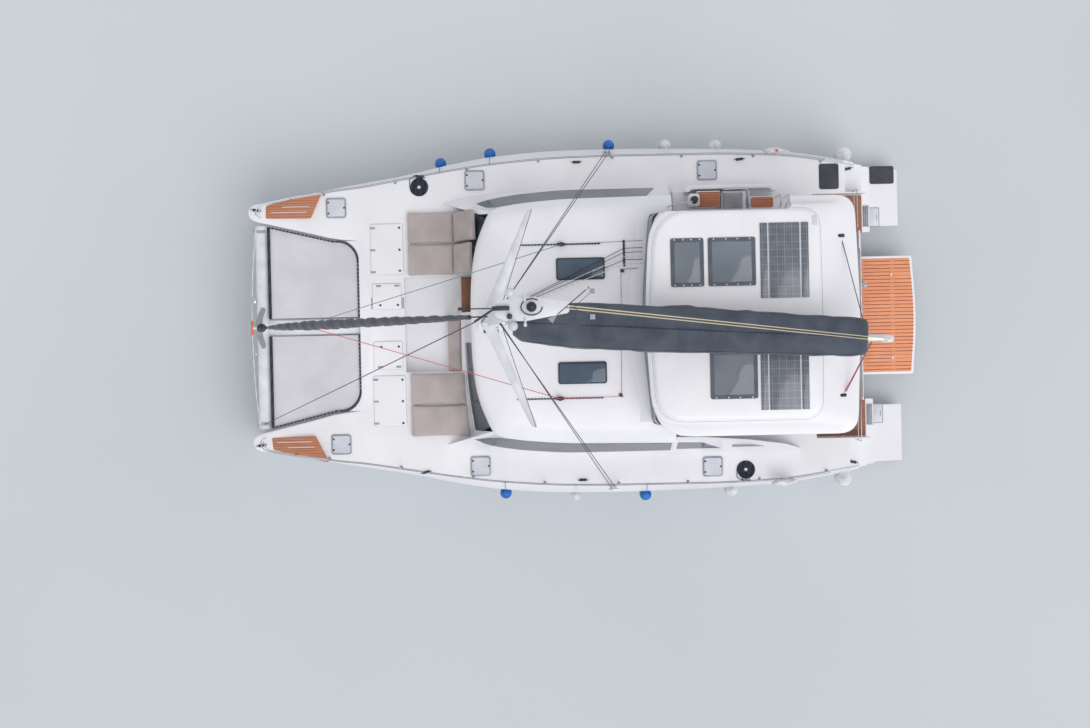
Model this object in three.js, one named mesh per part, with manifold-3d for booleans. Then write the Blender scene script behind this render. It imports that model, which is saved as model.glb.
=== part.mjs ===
// A cruising catamaran afloat, with its sails stowed. Millimetres, +X forward, +Y port, +Z up.
// The origin is on the waterline and the centreline, halfway between the bow tips and the transoms.

import * as THREE from 'three';
import { mergeVertices } from 'three/addons/utils/BufferGeometryUtils.js';
import Module from 'manifold-3d';

const wasm = await Module();
wasm.setup();

// Driving dimensions
const GAP = 0.3; // between pieces that touch
const BOW_TIP = 7375;
const TRANSOM = -7375;
const DECK = 1900;
const INNER_FACE = 1900; // the hulls' inboard faces, each side of the bridge deck
const SOLE = 1300; // saloon and cockpit floor
const WELL_SOLE = 1500; // forward cockpit floor
const FOREDECK_FRONT = 4950;
const BRIDGE_AFT = -6400;
const ROOF_EDGE = 3020; // coachroof underside at its edge
const ROOF_TOP = 3380;
const SALOON_AFT = -1960;
const WALL = 60;
const HARDTOP_UNDER = 3850;
const HARDTOP_RIM = 4020;
const HARDTOP_TOP = 4400;
const HARDTOP_FRONT = -1330;
const HARDTOP_AFT = -5850;
const MAST_X = 2000;
const MAST_FOOT = 3420;
const MAST_TOP = 21500;
const MAST_RAKE = 0.033; // aft per unit of height
const HOUNDS = 17000;
const BOOM_Z = 5000;
const BOOM_PIVOT_X = 1700;
const BOOM_ANGLE = 3.7; // degrees to port, as moored
const BOOM_END = -6380;
const BEAM_X = 7130;
const BEAM_Z = 1720;
const NET_Z = 1832;

// Materials
const finish = (color, roughness, metalness = 0) =>
  new THREE.MeshStandardMaterial({ color, roughness, metalness });
const gelcoat = finish('#efeef2', 0.3);
const antifouling = finish('#2d3a4e', 0.8);
const tinted = finish('#54616f', 0.1);
const aluminium = finish('#d5d7da', 0.35, 0.8);
const steel = finish('#b9bcc0', 0.25, 1);
const bronze = finish('#9a7b4c', 0.35, 1);
const canvas = finish('#454c58', 0.9);
const upholstery = finish('#b3a8a6', 0.9);
const mesh = finish('#dcd8de', 0.9);
const teak = finish('#f2a07a', 0.7);
const acrylic = finish('#d3d5de', 0.15);
const cells = finish('#4f5668', 0.2);

// Solids
function solid(geometry) {
  const bare = geometry.clone();
  bare.deleteAttribute('normal');
  bare.deleteAttribute('uv');
  const merged = mergeVertices(bare, 0.001);
  return new wasm.Manifold(new wasm.Mesh({
    numProp: 3,
    vertProperties: new Float32Array(merged.attributes.position.array),
    triVerts: new Uint32Array(merged.index.array),
  }));
}

function geometryOf(body) {
  const { vertProperties, triVerts } = body.getMesh();
  const geometry = new THREE.BufferGeometry();
  geometry.setAttribute('position', new THREE.BufferAttribute(vertProperties, 3));
  geometry.setIndex(new THREE.BufferAttribute(triVerts, 1));
  return geometry;
}

// Triangles that close a flat ring, in the ring's own order. normal is the axis that the ring faces.
function capFaces(ring, normal) {
  const [u, v] = { x: [1, 2], y: [0, 2], z: [0, 1] }[normal];
  const flat = ring.map((p) => new THREE.Vector2(p[u], p[v]));
  const turn = Math.sign(THREE.ShapeUtils.area(flat));
  return THREE.ShapeUtils.triangulateShape(flat, []).map((face) => {
    const corners = face.map((i) => flat[i]);
    return Math.sign(THREE.ShapeUtils.area(corners)) === turn ? face : [face[0], face[2], face[1]];
  });
}

// A closed body through rings of equal length, each flat across the normal axis.
function skin(rings, normal) {
  const count = rings[0].length;
  const points = rings.flat();
  const faces = [];
  for (let r = 0; r < rings.length - 1; r++) {
    for (let i = 0; i < count; i++) {
      const a = r * count + i;
      const b = r * count + ((i + 1) % count);
      faces.push([a, b, b + count], [a, b + count, a + count]);
    }
  }
  const last = points.length - count;
  capFaces(rings[0], normal).forEach(([a, b, c]) => faces.push([a, c, b]));
  capFaces(rings.at(-1), normal).forEach(([a, b, c]) => faces.push([last + a, last + b, last + c]));
  const volume = faces.reduce((sum, [a, b, c]) => sum + new THREE.Vector3(...points[a]).dot(
    new THREE.Vector3(...points[b]).cross(new THREE.Vector3(...points[c]))), 0);
  const outward = volume > 0 ? faces : faces.map(([a, b, c]) => [a, c, b]);
  const geometry = new THREE.BufferGeometry();
  geometry.setAttribute('position', new THREE.Float32BufferAttribute(points.flat(), 3));
  geometry.setIndex(outward.flat());
  return solid(geometry);
}

// Extrusions of a flat outline: (x, y) along Z, (x, z) along Y and (y, z) along X.
const upright = (outline, z0, z1) => skin([z0, z1].map((z) => outline.map(([x, y]) => [x, y, z])), 'z');
const across = (outline, y0, y1) => skin([y0, y1].map((y) => outline.map(([x, z]) => [x, y, z])), 'y');
const along = (outline, x0, x1) => skin([x0, x1].map((x) => outline.map(([y, z]) => [x, y, z])), 'x');

const box = (x0, x1, y0, y1, z0, z1) => upright([[x0, y0], [x1, y0], [x1, y1], [x0, y1]], z0, z1);

// A box on the port side, or its mirror image for side -1.
const sideBox = (side, x0, x1, y0, y1, z0, z1) => box(x0, x1, side * y0, side * y1, z0, z1);

const mirrored = (outline, side) => outline.map(([x, y]) => [x, side * y]);

function arc(cx, cy, radius, from, to, steps) {
  return Array.from({ length: steps + 1 }, (_, i) => {
    const angle = THREE.MathUtils.degToRad(from + ((to - from) * i) / steps);
    return [cx + radius * Math.cos(angle), cy + radius * Math.sin(angle)];
  });
}

function roundedOutline(x0, x1, y0, y1, radius, steps = 3) {
  return [
    ...arc(x1 - radius, y1 - radius, radius, 0, 90, steps),
    ...arc(x0 + radius, y1 - radius, radius, 90, 180, steps),
    ...arc(x0 + radius, y0 + radius, radius, 180, 270, steps),
    ...arc(x1 - radius, y0 + radius, radius, 270, 360, steps),
  ];
}

function ellipse(cx, cy, rx, ry, sides) {
  return Array.from({ length: sides }, (_, i) => {
    const angle = (2 * Math.PI * (i + 0.5)) / sides;
    return [cx + rx * Math.cos(angle), cy + ry * Math.sin(angle)];
  });
}

// A straight round bar between two points.
function bar(from, to, radius, endRadius = radius, sides = 8) {
  const start = new THREE.Vector3(...from);
  const run = new THREE.Vector3(...to).sub(start);
  const geometry = new THREE.CylinderGeometry(endRadius, radius, run.length(), sides);
  geometry.translate(0, run.length() / 2, 0);
  geometry.applyQuaternion(new THREE.Quaternion().setFromUnitVectors(
    new THREE.Vector3(0, 1, 0), run.clone().normalize()));
  geometry.translate(...from);
  return solid(geometry);
}

// Moves every point of a closed outline inwards by a distance.
function inset(outline, distance) {
  const turn = Math.sign(THREE.ShapeUtils.area(outline.map((p) => new THREE.Vector2(...p))));
  const count = outline.length;
  return outline.map(([x, y], i) => {
    const before = outline[(i + count - 1) % count];
    const after = outline[(i + 1) % count];
    const normals = [[before, [x, y]], [[x, y], after]].map(([p, q]) =>
      new THREE.Vector2(-(q[1] - p[1]), q[0] - p[0]).normalize());
    const middle = normals[0].clone().add(normals[1]).normalize();
    const reach = (turn * distance) / middle.dot(normals[0]);
    return [x + middle.x * reach, y + middle.y * reach];
  });
}

const boat = new THREE.Group();

function part(name, body, material, parent = boat) {
  const piece = new THREE.Mesh(geometryOf(body), material);
  piece.name = name;
  parent.add(piece);
  return piece;
}

const SIDES = [['port', 1], ['starboard', -1]];

// Hull stations, port side. Each row: x, deck inner and outer edge, deck height, knuckle y and z,
// bilge outer y and its z, keel line outer and inner y and its z, bilge inner y, chine y and z.
const STATIONS = [
  [BOW_TIP, 2500, 2620, 1970, 2622, 1930, 2585, 700, 2568, 2552, 350, 2540, 2498, 1500],
  [7335, 2430, 2690, 1980, 2695, 1920, 2630, 250, 2575, 2545, -60, 2500, 2425, 1450],
  [7230, 2372, 2745, 1980, 2755, 1900, 2665, 60, 2585, 2535, -260, 2465, 2372, 1400],
  [6900, 2290, 2790, 1960, 2815, 1860, 2740, -20, 2610, 2520, -400, 2400, 2290, 1350],
  [6100, 2100, 2930, DECK, 2965, 1790, 2880, -60, 2700, 2540, -520, 2350, 2110, 1150],
  [5400, 1935, 3040, DECK, 3100, 1760, 3010, -90, 2800, 2590, -570, 2330, 1960, 1000],
  [FOREDECK_FRONT, INNER_FACE, 3090, DECK, 3180, 1730, 3090, -100, 2860, 2640, -600, 2330, INNER_FACE, 900],
  [3900, INNER_FACE, 3210, DECK, 3360, 1640, 3260, -120, 2990, 2710, -640, 2330, INNER_FACE, 850],
  [2800, INNER_FACE, 3390, DECK, 3610, 1540, 3470, -140, 3090, 2770, -640, 2330, INNER_FACE, 820],
  [1800, INNER_FACE, 3500, DECK, 3770, 1480, 3600, -150, 3150, 2800, -640, 2330, INNER_FACE, 820],
  [300, INNER_FACE, 3590, DECK, 3870, 1430, 3690, -150, 3190, 2820, -640, 2330, INNER_FACE, 820],
  [-1000, INNER_FACE, 3600, DECK, 3880, 1420, 3700, -150, 3190, 2820, -640, 2330, INNER_FACE, 820],
  [-2700, INNER_FACE, 3575, DECK, 3845, 1420, 3680, -130, 3160, 2800, -600, 2330, INNER_FACE, 800],
  [-4300, INNER_FACE, 3510, DECK, 3775, 1430, 3620, -100, 3120, 2790, -480, 2330, INNER_FACE, 800],
  [-5800, INNER_FACE, 3340, DECK, 3560, 1460, 3500, -40, 3080, 2780, -280, 2320, INNER_FACE, 800],
  [-6500, INNER_FACE, 3240, DECK, 3400, 1500, 3400, 20, 3050, 2780, -140, 2310, INNER_FACE, 750],
  [TRANSOM, 1960, 3190, DECK, 3360, 1500, 3350, 100, 3000, 2800, 30, 2250, 1980, 600],
];

// Stern steps. Each row: aft of x, outboard of y, inboard of y, tread height.
const STERN_STEPS = [
  [-6650, 1800, 3600, 450],
  [-6420, 1800, 3600, 880],
  [-6180, 2760, 3600, 1240],
  [-5940, 2760, 3600, 1570],
  [-5200, 1800, 2730, SOLE],
];

// Deck hatches, port side. Each row: name, centre x, centre y.
const DECK_HATCHES = [
  ['bow', 5430, 2640],
  ['mid', 2330, 3190],
  ['aft', -2860, 3310],
];
const HATCH_SIZE = 450;
const HATCH_THICKNESS = 36;
const HATCH_WELL_DEPTH = 80;

const RUDDER_X = -6180;
const RUDDER_Y = 2920;
const STOCK_RADIUS = 26;
const KEEL_LINE = -640;

function hull(side, drop = 0) {
  const rings = STATIONS.map(([x, deckIn, deckOut, deckZ, knuckle, knuckleZ, bilgeOut, bilgeZ,
    keelOut, keelIn, keelZ, bilgeIn, chine, chineZ]) => [
    [deckIn, deckZ], [deckOut, deckZ], [knuckle, knuckleZ],
    [bilgeOut, bilgeZ], [keelOut, keelZ], [keelIn, keelZ],
    [bilgeIn, bilgeZ], [chine, chineZ],
  ].map(([y, z]) => [x, side * y, z - drop]));
  return skin(rings, 'x');
}

const WELL_MARGIN = 30;

function deckedHull(side) {
  let body = hull(side);
  for (const [x, y0, y1, tread] of STERN_STEPS) {
    body = body.subtract(sideBox(side, TRANSOM - 100, x, y0, y1, tread, DECK + 200));
  }
  for (const [, x, y] of DECK_HATCHES) {
    const half = HATCH_SIZE / 2 - WELL_MARGIN;
    body = body.subtract(sideBox(side, x - half, x + half, y - half, y + half, DECK - HATCH_WELL_DEPTH, DECK + 50));
  }
  return body.subtract(bar([RUDDER_X, side * RUDDER_Y, -400], [RUDDER_X, side * RUDDER_Y, 60],
    STOCK_RADIUS + 6, STOCK_RADIUS + 6, 12));
}

// Mini-keels. Each row: height, leading edge, trailing edge, half thickness.
const KEEL_TIERS = [
  [KEEL_LINE - GAP, 1900, -600, 150],
  [-1400, 1700, -450, 120],
];
const KEEL_Y = 3000;

// A symmetric foil seen from above, blunt at its front.
const foil = (front, back, half, y) => [
  [front, y - half * 0.25], [front, y + half * 0.25],
  [front - (front - back) * 0.12, y + half * 0.8], [front - (front - back) * 0.35, y + half],
  [front - (front - back) * 0.7, y + half * 0.6], [back, y + half * 0.08],
  [back, y - half * 0.08], [front - (front - back) * 0.7, y - half * 0.6],
  [front - (front - back) * 0.35, y - half], [front - (front - back) * 0.12, y - half * 0.8],
];

for (const [name, side] of SIDES) {
  part(`${name}_hull`, deckedHull(side), gelcoat);
  part(`${name}_keel`, skin(KEEL_TIERS.map(([z, front, back, half]) =>
    foil(front, back, half, side * KEEL_Y).map(([x, y]) => [x, y, z])), 'z'), antifouling);
}

// Bridge deck: foredeck, forward cockpit well, saloon and cockpit sole, transom and lift rails
const TRANSOM_TOP = 1750;
const SALOON_FRONT = 2400;
const BRIDGE_PROFILE = [
  [FOREDECK_FRONT, DECK], [FOREDECK_FRONT, 1500], [4300, 1050], [3000, 850], [-5000, 800],
  [BRIDGE_AFT, 880], [BRIDGE_AFT, TRANSOM_TOP], [BRIDGE_AFT + 150, TRANSOM_TOP],
  [BRIDGE_AFT + 150, SOLE], [SALOON_FRONT, SOLE], [SALOON_FRONT, DECK],
];
const WELL_AFT = 2700;
const WELL_FRONT = 3950;
const WELL_HALF = 1060;
const BENCH_FRONT = 3020;
const BENCH_TOP = 1800;
const BENCH_STARBOARD = -130;
const DOORWAY = { y0: -1080, y1: -250 };
const CORNER_RADIUS = 455;
const RAIL_Y = 700;
const RAIL_HALF = 30;
const RAIL_DEPTH = 30;

// Foredeck locker lids. Each row: name, aft edge x, front edge x, y from, y to, hinged at its front or port edge.
const LOCKER_LIDS = [
  ['port', 3960, 4680, 1130, 2260],
  ['starboard', 3960, 4680, -2260, -1130],
  ['centre_port', 4020, 4660, 360, 980],
  ['centre_starboard', 4020, 4660, -930, -360],
];
const LID_THICKNESS = 30;

function bridgeDeck() {
  const half = INNER_FACE - GAP;
  let body = across(BRIDGE_PROFILE, -half, half);
  for (const side of [1, -1]) {
    const corner = sideBox(side, FOREDECK_FRONT - 50, FOREDECK_FRONT + 490, 1400, half - 0.2, 1600, DECK);
    const round = upright(arc(FOREDECK_FRONT + 490, side * 1450, CORNER_RADIUS + 40, 0, 360, 24).slice(0, -1), 1500, 2000);
    body = body.add(corner.subtract(round));
    body = body.add(sideBox(side, BRIDGE_AFT - RAIL_DEPTH, BRIDGE_AFT + 50, RAIL_Y - RAIL_HALF,
      RAIL_Y + RAIL_HALF, 250, TRANSOM_TOP - 50));
  }
  body = body.subtract(box(WELL_AFT, WELL_FRONT, -WELL_HALF, WELL_HALF, WELL_SOLE, DECK + 50));
  body = body.add(box(WELL_AFT - 20, BENCH_FRONT, BENCH_STARBOARD, WELL_HALF + 20, WELL_SOLE - 50, BENCH_TOP));
  body = body.subtract(box(SALOON_FRONT - 50, WELL_AFT + 50, DOORWAY.y0, DOORWAY.y1, WELL_SOLE, DECK + 50));
  for (const [, x0, x1, y0, y1] of LOCKER_LIDS) {
    const m = WELL_MARGIN;
    const within = [Math.max(y0, -INNER_FACE) + m, Math.min(y1, INNER_FACE) - m];
    body = body.subtract(box(x0 + m, x1 - m, ...within, DECK - HATCH_WELL_DEPTH, DECK + 50));
  }
  return body;
}
part('bridge_deck', bridgeDeck(), gelcoat);

// Coachroof outlines, port half from the centreline aft. Each row: x, y.
const WALL_FOOT = [[2660, 0], [2640, 900], [2500, 1650], [2260, 2200], [1960, 2600], [1400, 2900], [500, 3000]];
const WALL_HEAD = [[2420, 0], [2400, 900], [2290, 1550], [2080, 2020], [1780, 2350], [1200, 2570], [400, 2660]];
const WALL_BACK_FOOT = 3000;
const WALL_BACK_HEAD = 2680;
const fullOutline = (half, backY, back = SALOON_AFT) => [
  ...half.slice(1).reverse().map(([x, y]) => [x, -y]),
  ...half,
  [back, backY],
  [back, -backY],
].reverse();

const footOutline = fullOutline(WALL_FOOT, WALL_BACK_FOOT);
const headOutline = fullOutline(WALL_HEAD, WALL_BACK_HEAD);

// The walls' outer surface moved inwards by a distance, between two heights on their slope.
function walls(distance, z0, z1) {
  const ring = (z) => {
    const t = (z - DECK) / (ROOF_EDGE - DECK);
    const mixed = footOutline.map(([x, y], i) => [
      x + (headOutline[i][0] - x) * t,
      y + (headOutline[i][1] - y) * t,
    ]);
    return inset(mixed, distance).map(([x, y]) => [x, y, z]);
  };
  return skin([ring(z0), ring(z1)], 'z');
}

// Roof tiers. Each row: height, distance inwards from the roof's edge.
const ROOF_TIERS = [[ROOF_EDGE, 0], [3160, -10], [3290, 110], [3350, 300], [ROOF_TOP, 620]];
const EAVE = 30;

function roof() {
  const edge = inset(headOutline, -EAVE);
  return skin(ROOF_TIERS.map(([z, d]) => inset(edge, d).map(([x, y]) => [x, y, z])), 'z');
}

const ROOF_HATCH = { x0: -480, x1: 570, y0: 885, y1: 1360, thickness: 34 };
const DOOR = { y0: -1010, y1: -310, z0: WELL_SOLE + 40, z1: 2940, x: 2395, thickness: 38 };
const SIDE_WINDOW = [[1250, 2420], [900, 2280], [-1650, 2180], [-1780, 2420], [-1560, 2760], [300, 2840], [900, 2700]];
const FRONT_WINDOWS = [['port', -130, 2330], ['starboard', -2330, -1200]];
const FRONT_WINDOW = { x0: 1500, x1: 2900, z0: 2080, z1: 2900 };
const AFT_DOORWAY = { y0: -240, y1: 700, z1: 2970 };
const AFT_WINDOWS = [[800, 2300], [-2300, -500]];
const MAST_STEP = { x: 260, y: 180 };

const sideWindowCut = (side, z = 0) => across(inset(SIDE_WINDOW, z), side * 2300, side * 3200);
const frontWindowCut = (y0, y1, z = 0) =>
  box(FRONT_WINDOW.x0, FRONT_WINDOW.x1, y0 + z, y1 - z, FRONT_WINDOW.z0 + z, FRONT_WINDOW.z1 - z);

function coachroof() {
  let body = walls(0, DECK + GAP, ROOF_EDGE + 1).add(roof());
  body = body.add(box(SALOON_AFT, SALOON_AFT + WALL, -INNER_FACE + GAP, INNER_FACE - GAP, SOLE + GAP, DECK + 100));
  body = body.subtract(walls(WALL, DECK - 50, ROOF_EDGE + 60));
  body = body.add(box(MAST_X - MAST_STEP.x, MAST_X + MAST_STEP.x, -MAST_STEP.y, MAST_STEP.y, 3150, MAST_FOOT - GAP));
  for (const [, y0, y1] of FRONT_WINDOWS) body = body.subtract(frontWindowCut(y0, y1));
  for (const side of [1, -1]) {
    body = body.subtract(sideWindowCut(side));
    body = body.subtract(sideBox(side, ROOF_HATCH.x0 + WELL_MARGIN, ROOF_HATCH.x1 - WELL_MARGIN,
      ROOF_HATCH.y0 + WELL_MARGIN, ROOF_HATCH.y1 - WELL_MARGIN, 2900, 3500));
  }
  body = body.subtract(box(SALOON_FRONT - 100, 2900, DOORWAY.y0, DOORWAY.y1, DECK - 100, 2990));
  body = body.subtract(box(SALOON_AFT - 50, SALOON_AFT + WALL + 50, AFT_DOORWAY.y0, AFT_DOORWAY.y1,
    SOLE - 50, AFT_DOORWAY.z1));
  for (const [y0, y1] of AFT_WINDOWS) {
    body = body.subtract(box(SALOON_AFT - 50, SALOON_AFT + WALL + 50, y0, y1, 2100, 2900));
  }
  return body;
}
part('coachroof', coachroof(), gelcoat);

const PANE_OUTER = 18;
const PANE_INNER = 34;
const pane = () => walls(PANE_OUTER, DECK + 50, ROOF_EDGE - 20).subtract(walls(PANE_INNER, DECK, ROOF_EDGE));
for (const [name, y0, y1] of FRONT_WINDOWS) {
  part(`front_window_${name}`, pane().intersect(frontWindowCut(y0, y1, GAP)), tinted);
}
for (const [name, side] of SIDES) {
  part(`side_window_${name}`, pane().intersect(sideWindowCut(side, GAP)), tinted);
}

// Hardtop: a raised tray over the cockpit and helm, with a lower rim, on two forward legs
const RIM_HALF = 2550;
const TRAY = { x0: -5020, x1: HARDTOP_FRONT, y: 2240, wall: 90, roof: 90 };
const HELM_CUT = { x0: -4420, x1: -2300, y: 2260 };
const LEG = { x0: -1900, x1: -1620, y0: 1900, y1: 2060 };
const POST = { x0: -5080, x1: -4920, y0: 2300, y1: 2420 };

// Skylights. Each row: name, aft x, front x, y from, y to.
const SKYLIGHTS = [
  ['starboard_front', -2530, -1830, -1680, -660],
  ['starboard_aft', -3620, -2620, -1680, -660],
  ['port', -3620, -2620, 700, 1720],
];

function hardtop() {
  const rim = roundedOutline(HARDTOP_AFT, HARDTOP_FRONT - 250, -RIM_HALF, RIM_HALF, 350, 4);
  let body = upright(rim, HARDTOP_UNDER, HARDTOP_RIM);
  const tray = roundedOutline(TRAY.x0, TRAY.x1, -TRAY.y, TRAY.y, 420, 4);
  body = body.add(skin([
    tray.map(([x, y]) => [x, y, HARDTOP_UNDER]),
    inset(tray, 20).map(([x, y]) => [x, y, HARDTOP_TOP - 60]),
    inset(tray, 90).map(([x, y]) => [x, y, HARDTOP_TOP]),
  ], 'z'));
  body = body.subtract(upright(inset(tray, TRAY.wall), HARDTOP_UNDER - 50, HARDTOP_TOP - TRAY.roof));
  body = body.subtract(box(HELM_CUT.x0, HELM_CUT.x1, -RIM_HALF - 50, -HELM_CUT.y, HARDTOP_UNDER - 50, HARDTOP_RIM + 50));
  for (const [, x0, x1, y0, y1] of SKYLIGHTS) {
    const m = WELL_MARGIN;
    body = body.subtract(box(x0 + m, x1 - m, y0 + m, y1 - m, HARDTOP_UNDER, HARDTOP_TOP + 50));
  }
  for (const side of [1, -1]) {
    body = body.add(sideBox(side, LEG.x0, LEG.x1, LEG.y0, LEG.y1, ROOF_TOP + GAP, HARDTOP_TOP - 50));
  }
  return body;
}
part('hardtop', hardtop(), gelcoat);

for (const [name, side] of SIDES) {
  part(`${name}_roof_post`, sideBox(side, POST.x0, POST.x1, POST.y0, POST.y1, DECK + GAP, HARDTOP_UNDER - GAP), gelcoat);
}

// Windscreen: a bowed pane between the coachroof and the hardtop's front
const SCREEN = { half: 1880, bow: 130, thickness: 14, foot: -1430, lean: 60 };
const screenLine = (x) => {
  const steps = 8;
  return Array.from({ length: steps + 1 }, (_, i) => {
    const y = -SCREEN.half + (2 * SCREEN.half * i) / steps;
    return [x - SCREEN.bow * (y / SCREEN.half) ** 2, y];
  });
};
const screenOutline = (x) => [...screenLine(x), ...screenLine(x - SCREEN.thickness).reverse()];
part('windscreen', skin([
  screenOutline(SCREEN.foot + SCREEN.lean).map(([x, y]) => [x, y, ROOF_TOP + GAP]),
  screenOutline(SCREEN.foot).map(([x, y]) => [x, y, HARDTOP_UNDER - GAP]),
], 'z'), tinted);

// Solar panels on the tray, one each side
const PANEL = { x0: -4700, x1: -3720, y0: 390, y1: 1990, thickness: 25 };
for (const [name, side] of SIDES) {
  part(`${name}_solar_panel`, sideBox(side, PANEL.x0, PANEL.x1, PANEL.y0, PANEL.y1,
    HARDTOP_TOP + GAP, HARDTOP_TOP + GAP + PANEL.thickness), cells);
}

// Helm station on the starboard side, with its bench and wheel
const HELM_FLOOR = 2100;
const HELM = { x0: -4300, x1: -2060, inner: -700, outer: -2850 };
const CONSOLE = { x0: -2450, y0: -1750, y1: -750, top: 3050 };
const WHEEL = { x: -2560, y: -1250, z: 2930, radius: 390, rim: 17 };
function helmStation() {
  const inboard = box(HELM.x0, HELM.x1, -INNER_FACE + GAP, HELM.inner, SOLE + GAP, HELM_FLOOR);
  const outboard = box(HELM.x0, HELM.x1, HELM.outer, -INNER_FACE + 50, DECK + GAP, HELM_FLOOR);
  const console = box(CONSOLE.x0, HELM.x1, CONSOLE.y0, CONSOLE.y1, HELM_FLOOR - 50, CONSOLE.top);
  return inboard.add(outboard).add(console);
}
part('helm_station', helmStation(), gelcoat);

const HELM_SEAT = { x0: -3660, x1: -3100, y0: -2800, y1: -850, top: 2620, back: 3050 };
part('helm_seat', box(HELM_SEAT.x0, HELM_SEAT.x1, HELM_SEAT.y0, HELM_SEAT.y1, HELM_FLOOR + GAP, HELM_SEAT.top)
  .add(box(HELM_SEAT.x0, HELM_SEAT.x0 + 120, HELM_SEAT.y0 + 450, HELM_SEAT.y1, HELM_SEAT.top - 50, HELM_SEAT.back)),
upholstery);

function steeringWheel() {
  const profile = ellipse(WHEEL.radius, 0, WHEEL.rim, WHEEL.rim, 6).map(([x, y]) => new THREE.Vector2(x, y));
  const ring = new THREE.LatheGeometry([...profile, profile[0]], 24);
  ring.rotateZ(Math.PI / 2);
  let body = solid(ring);
  body = body.add(bar([-60, 0, 0], [WHEEL.x * -1 + CONSOLE.x0 - 4, 0, 0], 45, 45, 12));
  for (const angle of [90, 210, 330]) {
    const turn = THREE.MathUtils.degToRad(angle);
    body = body.add(bar([0, 0, 0], [0, WHEEL.radius * Math.cos(turn), WHEEL.radius * Math.sin(turn)], 11, 11, 6));
  }
  return body;
}
part('helm_wheel', steeringWheel(), steel).position.set(WHEEL.x, WHEEL.y, WHEEL.z);

// Furniture that shows through glass and from astern
const BENCH_SEAT = SOLE + 430;
const floor = SOLE + GAP;
part('cockpit_bench', box(-6245, -5620, -1500, 1890, floor, BENCH_SEAT)
  .add(box(-5700, -4700, 1350, 1890, floor, BENCH_SEAT))
  .add(box(-6245, -6140, -1500, 1890, BENCH_SEAT - 50, BENCH_SEAT + 380)), upholstery);
part('cockpit_table', box(-5350, -4350, 250, 1150, 1980, 2020)
  .add(box(-5000, -4700, 600, 800, floor, 2000)), teak);
part('saloon_settee', box(-300, 1900, 1250, 1890, floor, BENCH_SEAT)
  .add(box(-300, 1900, 1790, 1890, BENCH_SEAT - 50, BENCH_SEAT + 450)), upholstery);
part('galley_counter', box(-1500, 900, -1890, -1290, floor, SOLE + 900), gelcoat);

// Bow: crossbeam with the longeron and the forestay's striker, and the nets
const BEAM_HALF = 2285;
const LONGERON_HALF = 180;
function crossbeam() {
  const tube = across(ellipse(BEAM_X, BEAM_Z, 145, 90, 12), -BEAM_HALF, BEAM_HALF);
  const longeron = box(FOREDECK_FRONT + GAP, BEAM_X, -LONGERON_HALF, LONGERON_HALF, 1650, 1770);
  const sprit = bar([BEAM_X, 0, BEAM_Z], [BOW_TIP, 0, BEAM_Z + 60], 45, 35, 10);
  const striker = along([[-430, 1760], [-360, 1760], [0, 2090], [360, 1760], [430, 1760], [40, 2160], [-40, 2160]],
    BEAM_X - 30, BEAM_X + 30);
  return tube.add(longeron).add(sprit).add(striker);
}
part('crossbeam', crossbeam(), aluminium);

const NET_THICKNESS = 8;
const NET_OUTLINE = [
  [6930, 205], [6930, 2225], [5520, 1878],
  ...arc(FOREDECK_FRONT + 490, 1435, 445, 90, 180, 5).slice(1),
  [FOREDECK_FRONT + 45, 205],
];
for (const [name, side] of SIDES) {
  part(`${name}_net`, upright(mirrored(NET_OUTLINE, side), NET_Z, NET_Z + NET_THICKNESS), mesh);
}

// Forward cockpit cushions
const CUSHION = { top: 2030, y0: 1090, y1: 2500, front: 3860, aft: 2100, clearance: 6 };
for (const [name, side] of SIDES) {
  const block = sideBox(side, CUSHION.aft, CUSHION.front, CUSHION.y0, CUSHION.y1, DECK + GAP, CUSHION.top);
  part(`foredeck_cushion_${name}`, block.subtract(walls(-CUSHION.clearance, DECK - 20, CUSHION.top + 100)), upholstery);
}
part('foredeck_bench_cushion', box(WELL_AFT + 4, BENCH_FRONT, BENCH_STARBOARD, WELL_HALF - 4,
  BENCH_TOP + GAP, BENCH_TOP + 110), upholstery);

// Mast with its spreaders, crane and gooseneck lugs
// Mast sections. Each row: height, half length, half width.
const MAST_SECTIONS = [[MAST_FOOT, 180, 100], [17800, 180, 100], [MAST_TOP, 120, 75]];
const mastX = (z) => MAST_X - (z - MAST_FOOT) * MAST_RAKE;
const SPREADER = { z: 12000, tip: 1870, sweep: 0.36, chord: 130, thickness: 30 };
const LUG = { half: 45, gap: 66, thickness: 34 };
function mast() {
  let body = skin(MAST_SECTIONS.map(([z, rx, ry]) =>
    ellipse(mastX(z), 0, rx, ry, 12).map(([x, y]) => [x, y, z])), 'z');
  for (const side of [1, -1]) {
    const rib = (y, chord) => {
      const x = mastX(SPREADER.z) - SPREADER.sweep * y;
      return [[x + chord / 2, 0], [x, SPREADER.thickness / 2], [x - chord / 2, 0], [x, -SPREADER.thickness / 2]]
        .map(([px, z]) => [px, side * y, SPREADER.z + z]);
    };
    body = body.add(skin([rib(20, SPREADER.chord * 1.3), rib(SPREADER.tip, SPREADER.chord * 0.6)], 'y'));
  }
  const crane = [[1640, -110], [1640, 110], [1300, 120], [640, 45], [640, -45], [1300, -120]];
  body = body.add(upright(crane, MAST_TOP - 100, MAST_TOP + 40));
  for (const z of [BOOM_Z - LUG.gap - LUG.thickness, BOOM_Z + LUG.gap]) {
    body = body.add(box(BOOM_PIVOT_X - 50, mastX(z), -LUG.half, LUG.half, z, z + LUG.thickness));
  }
  return body;
}
part('mast', mast(), aluminium);

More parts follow.
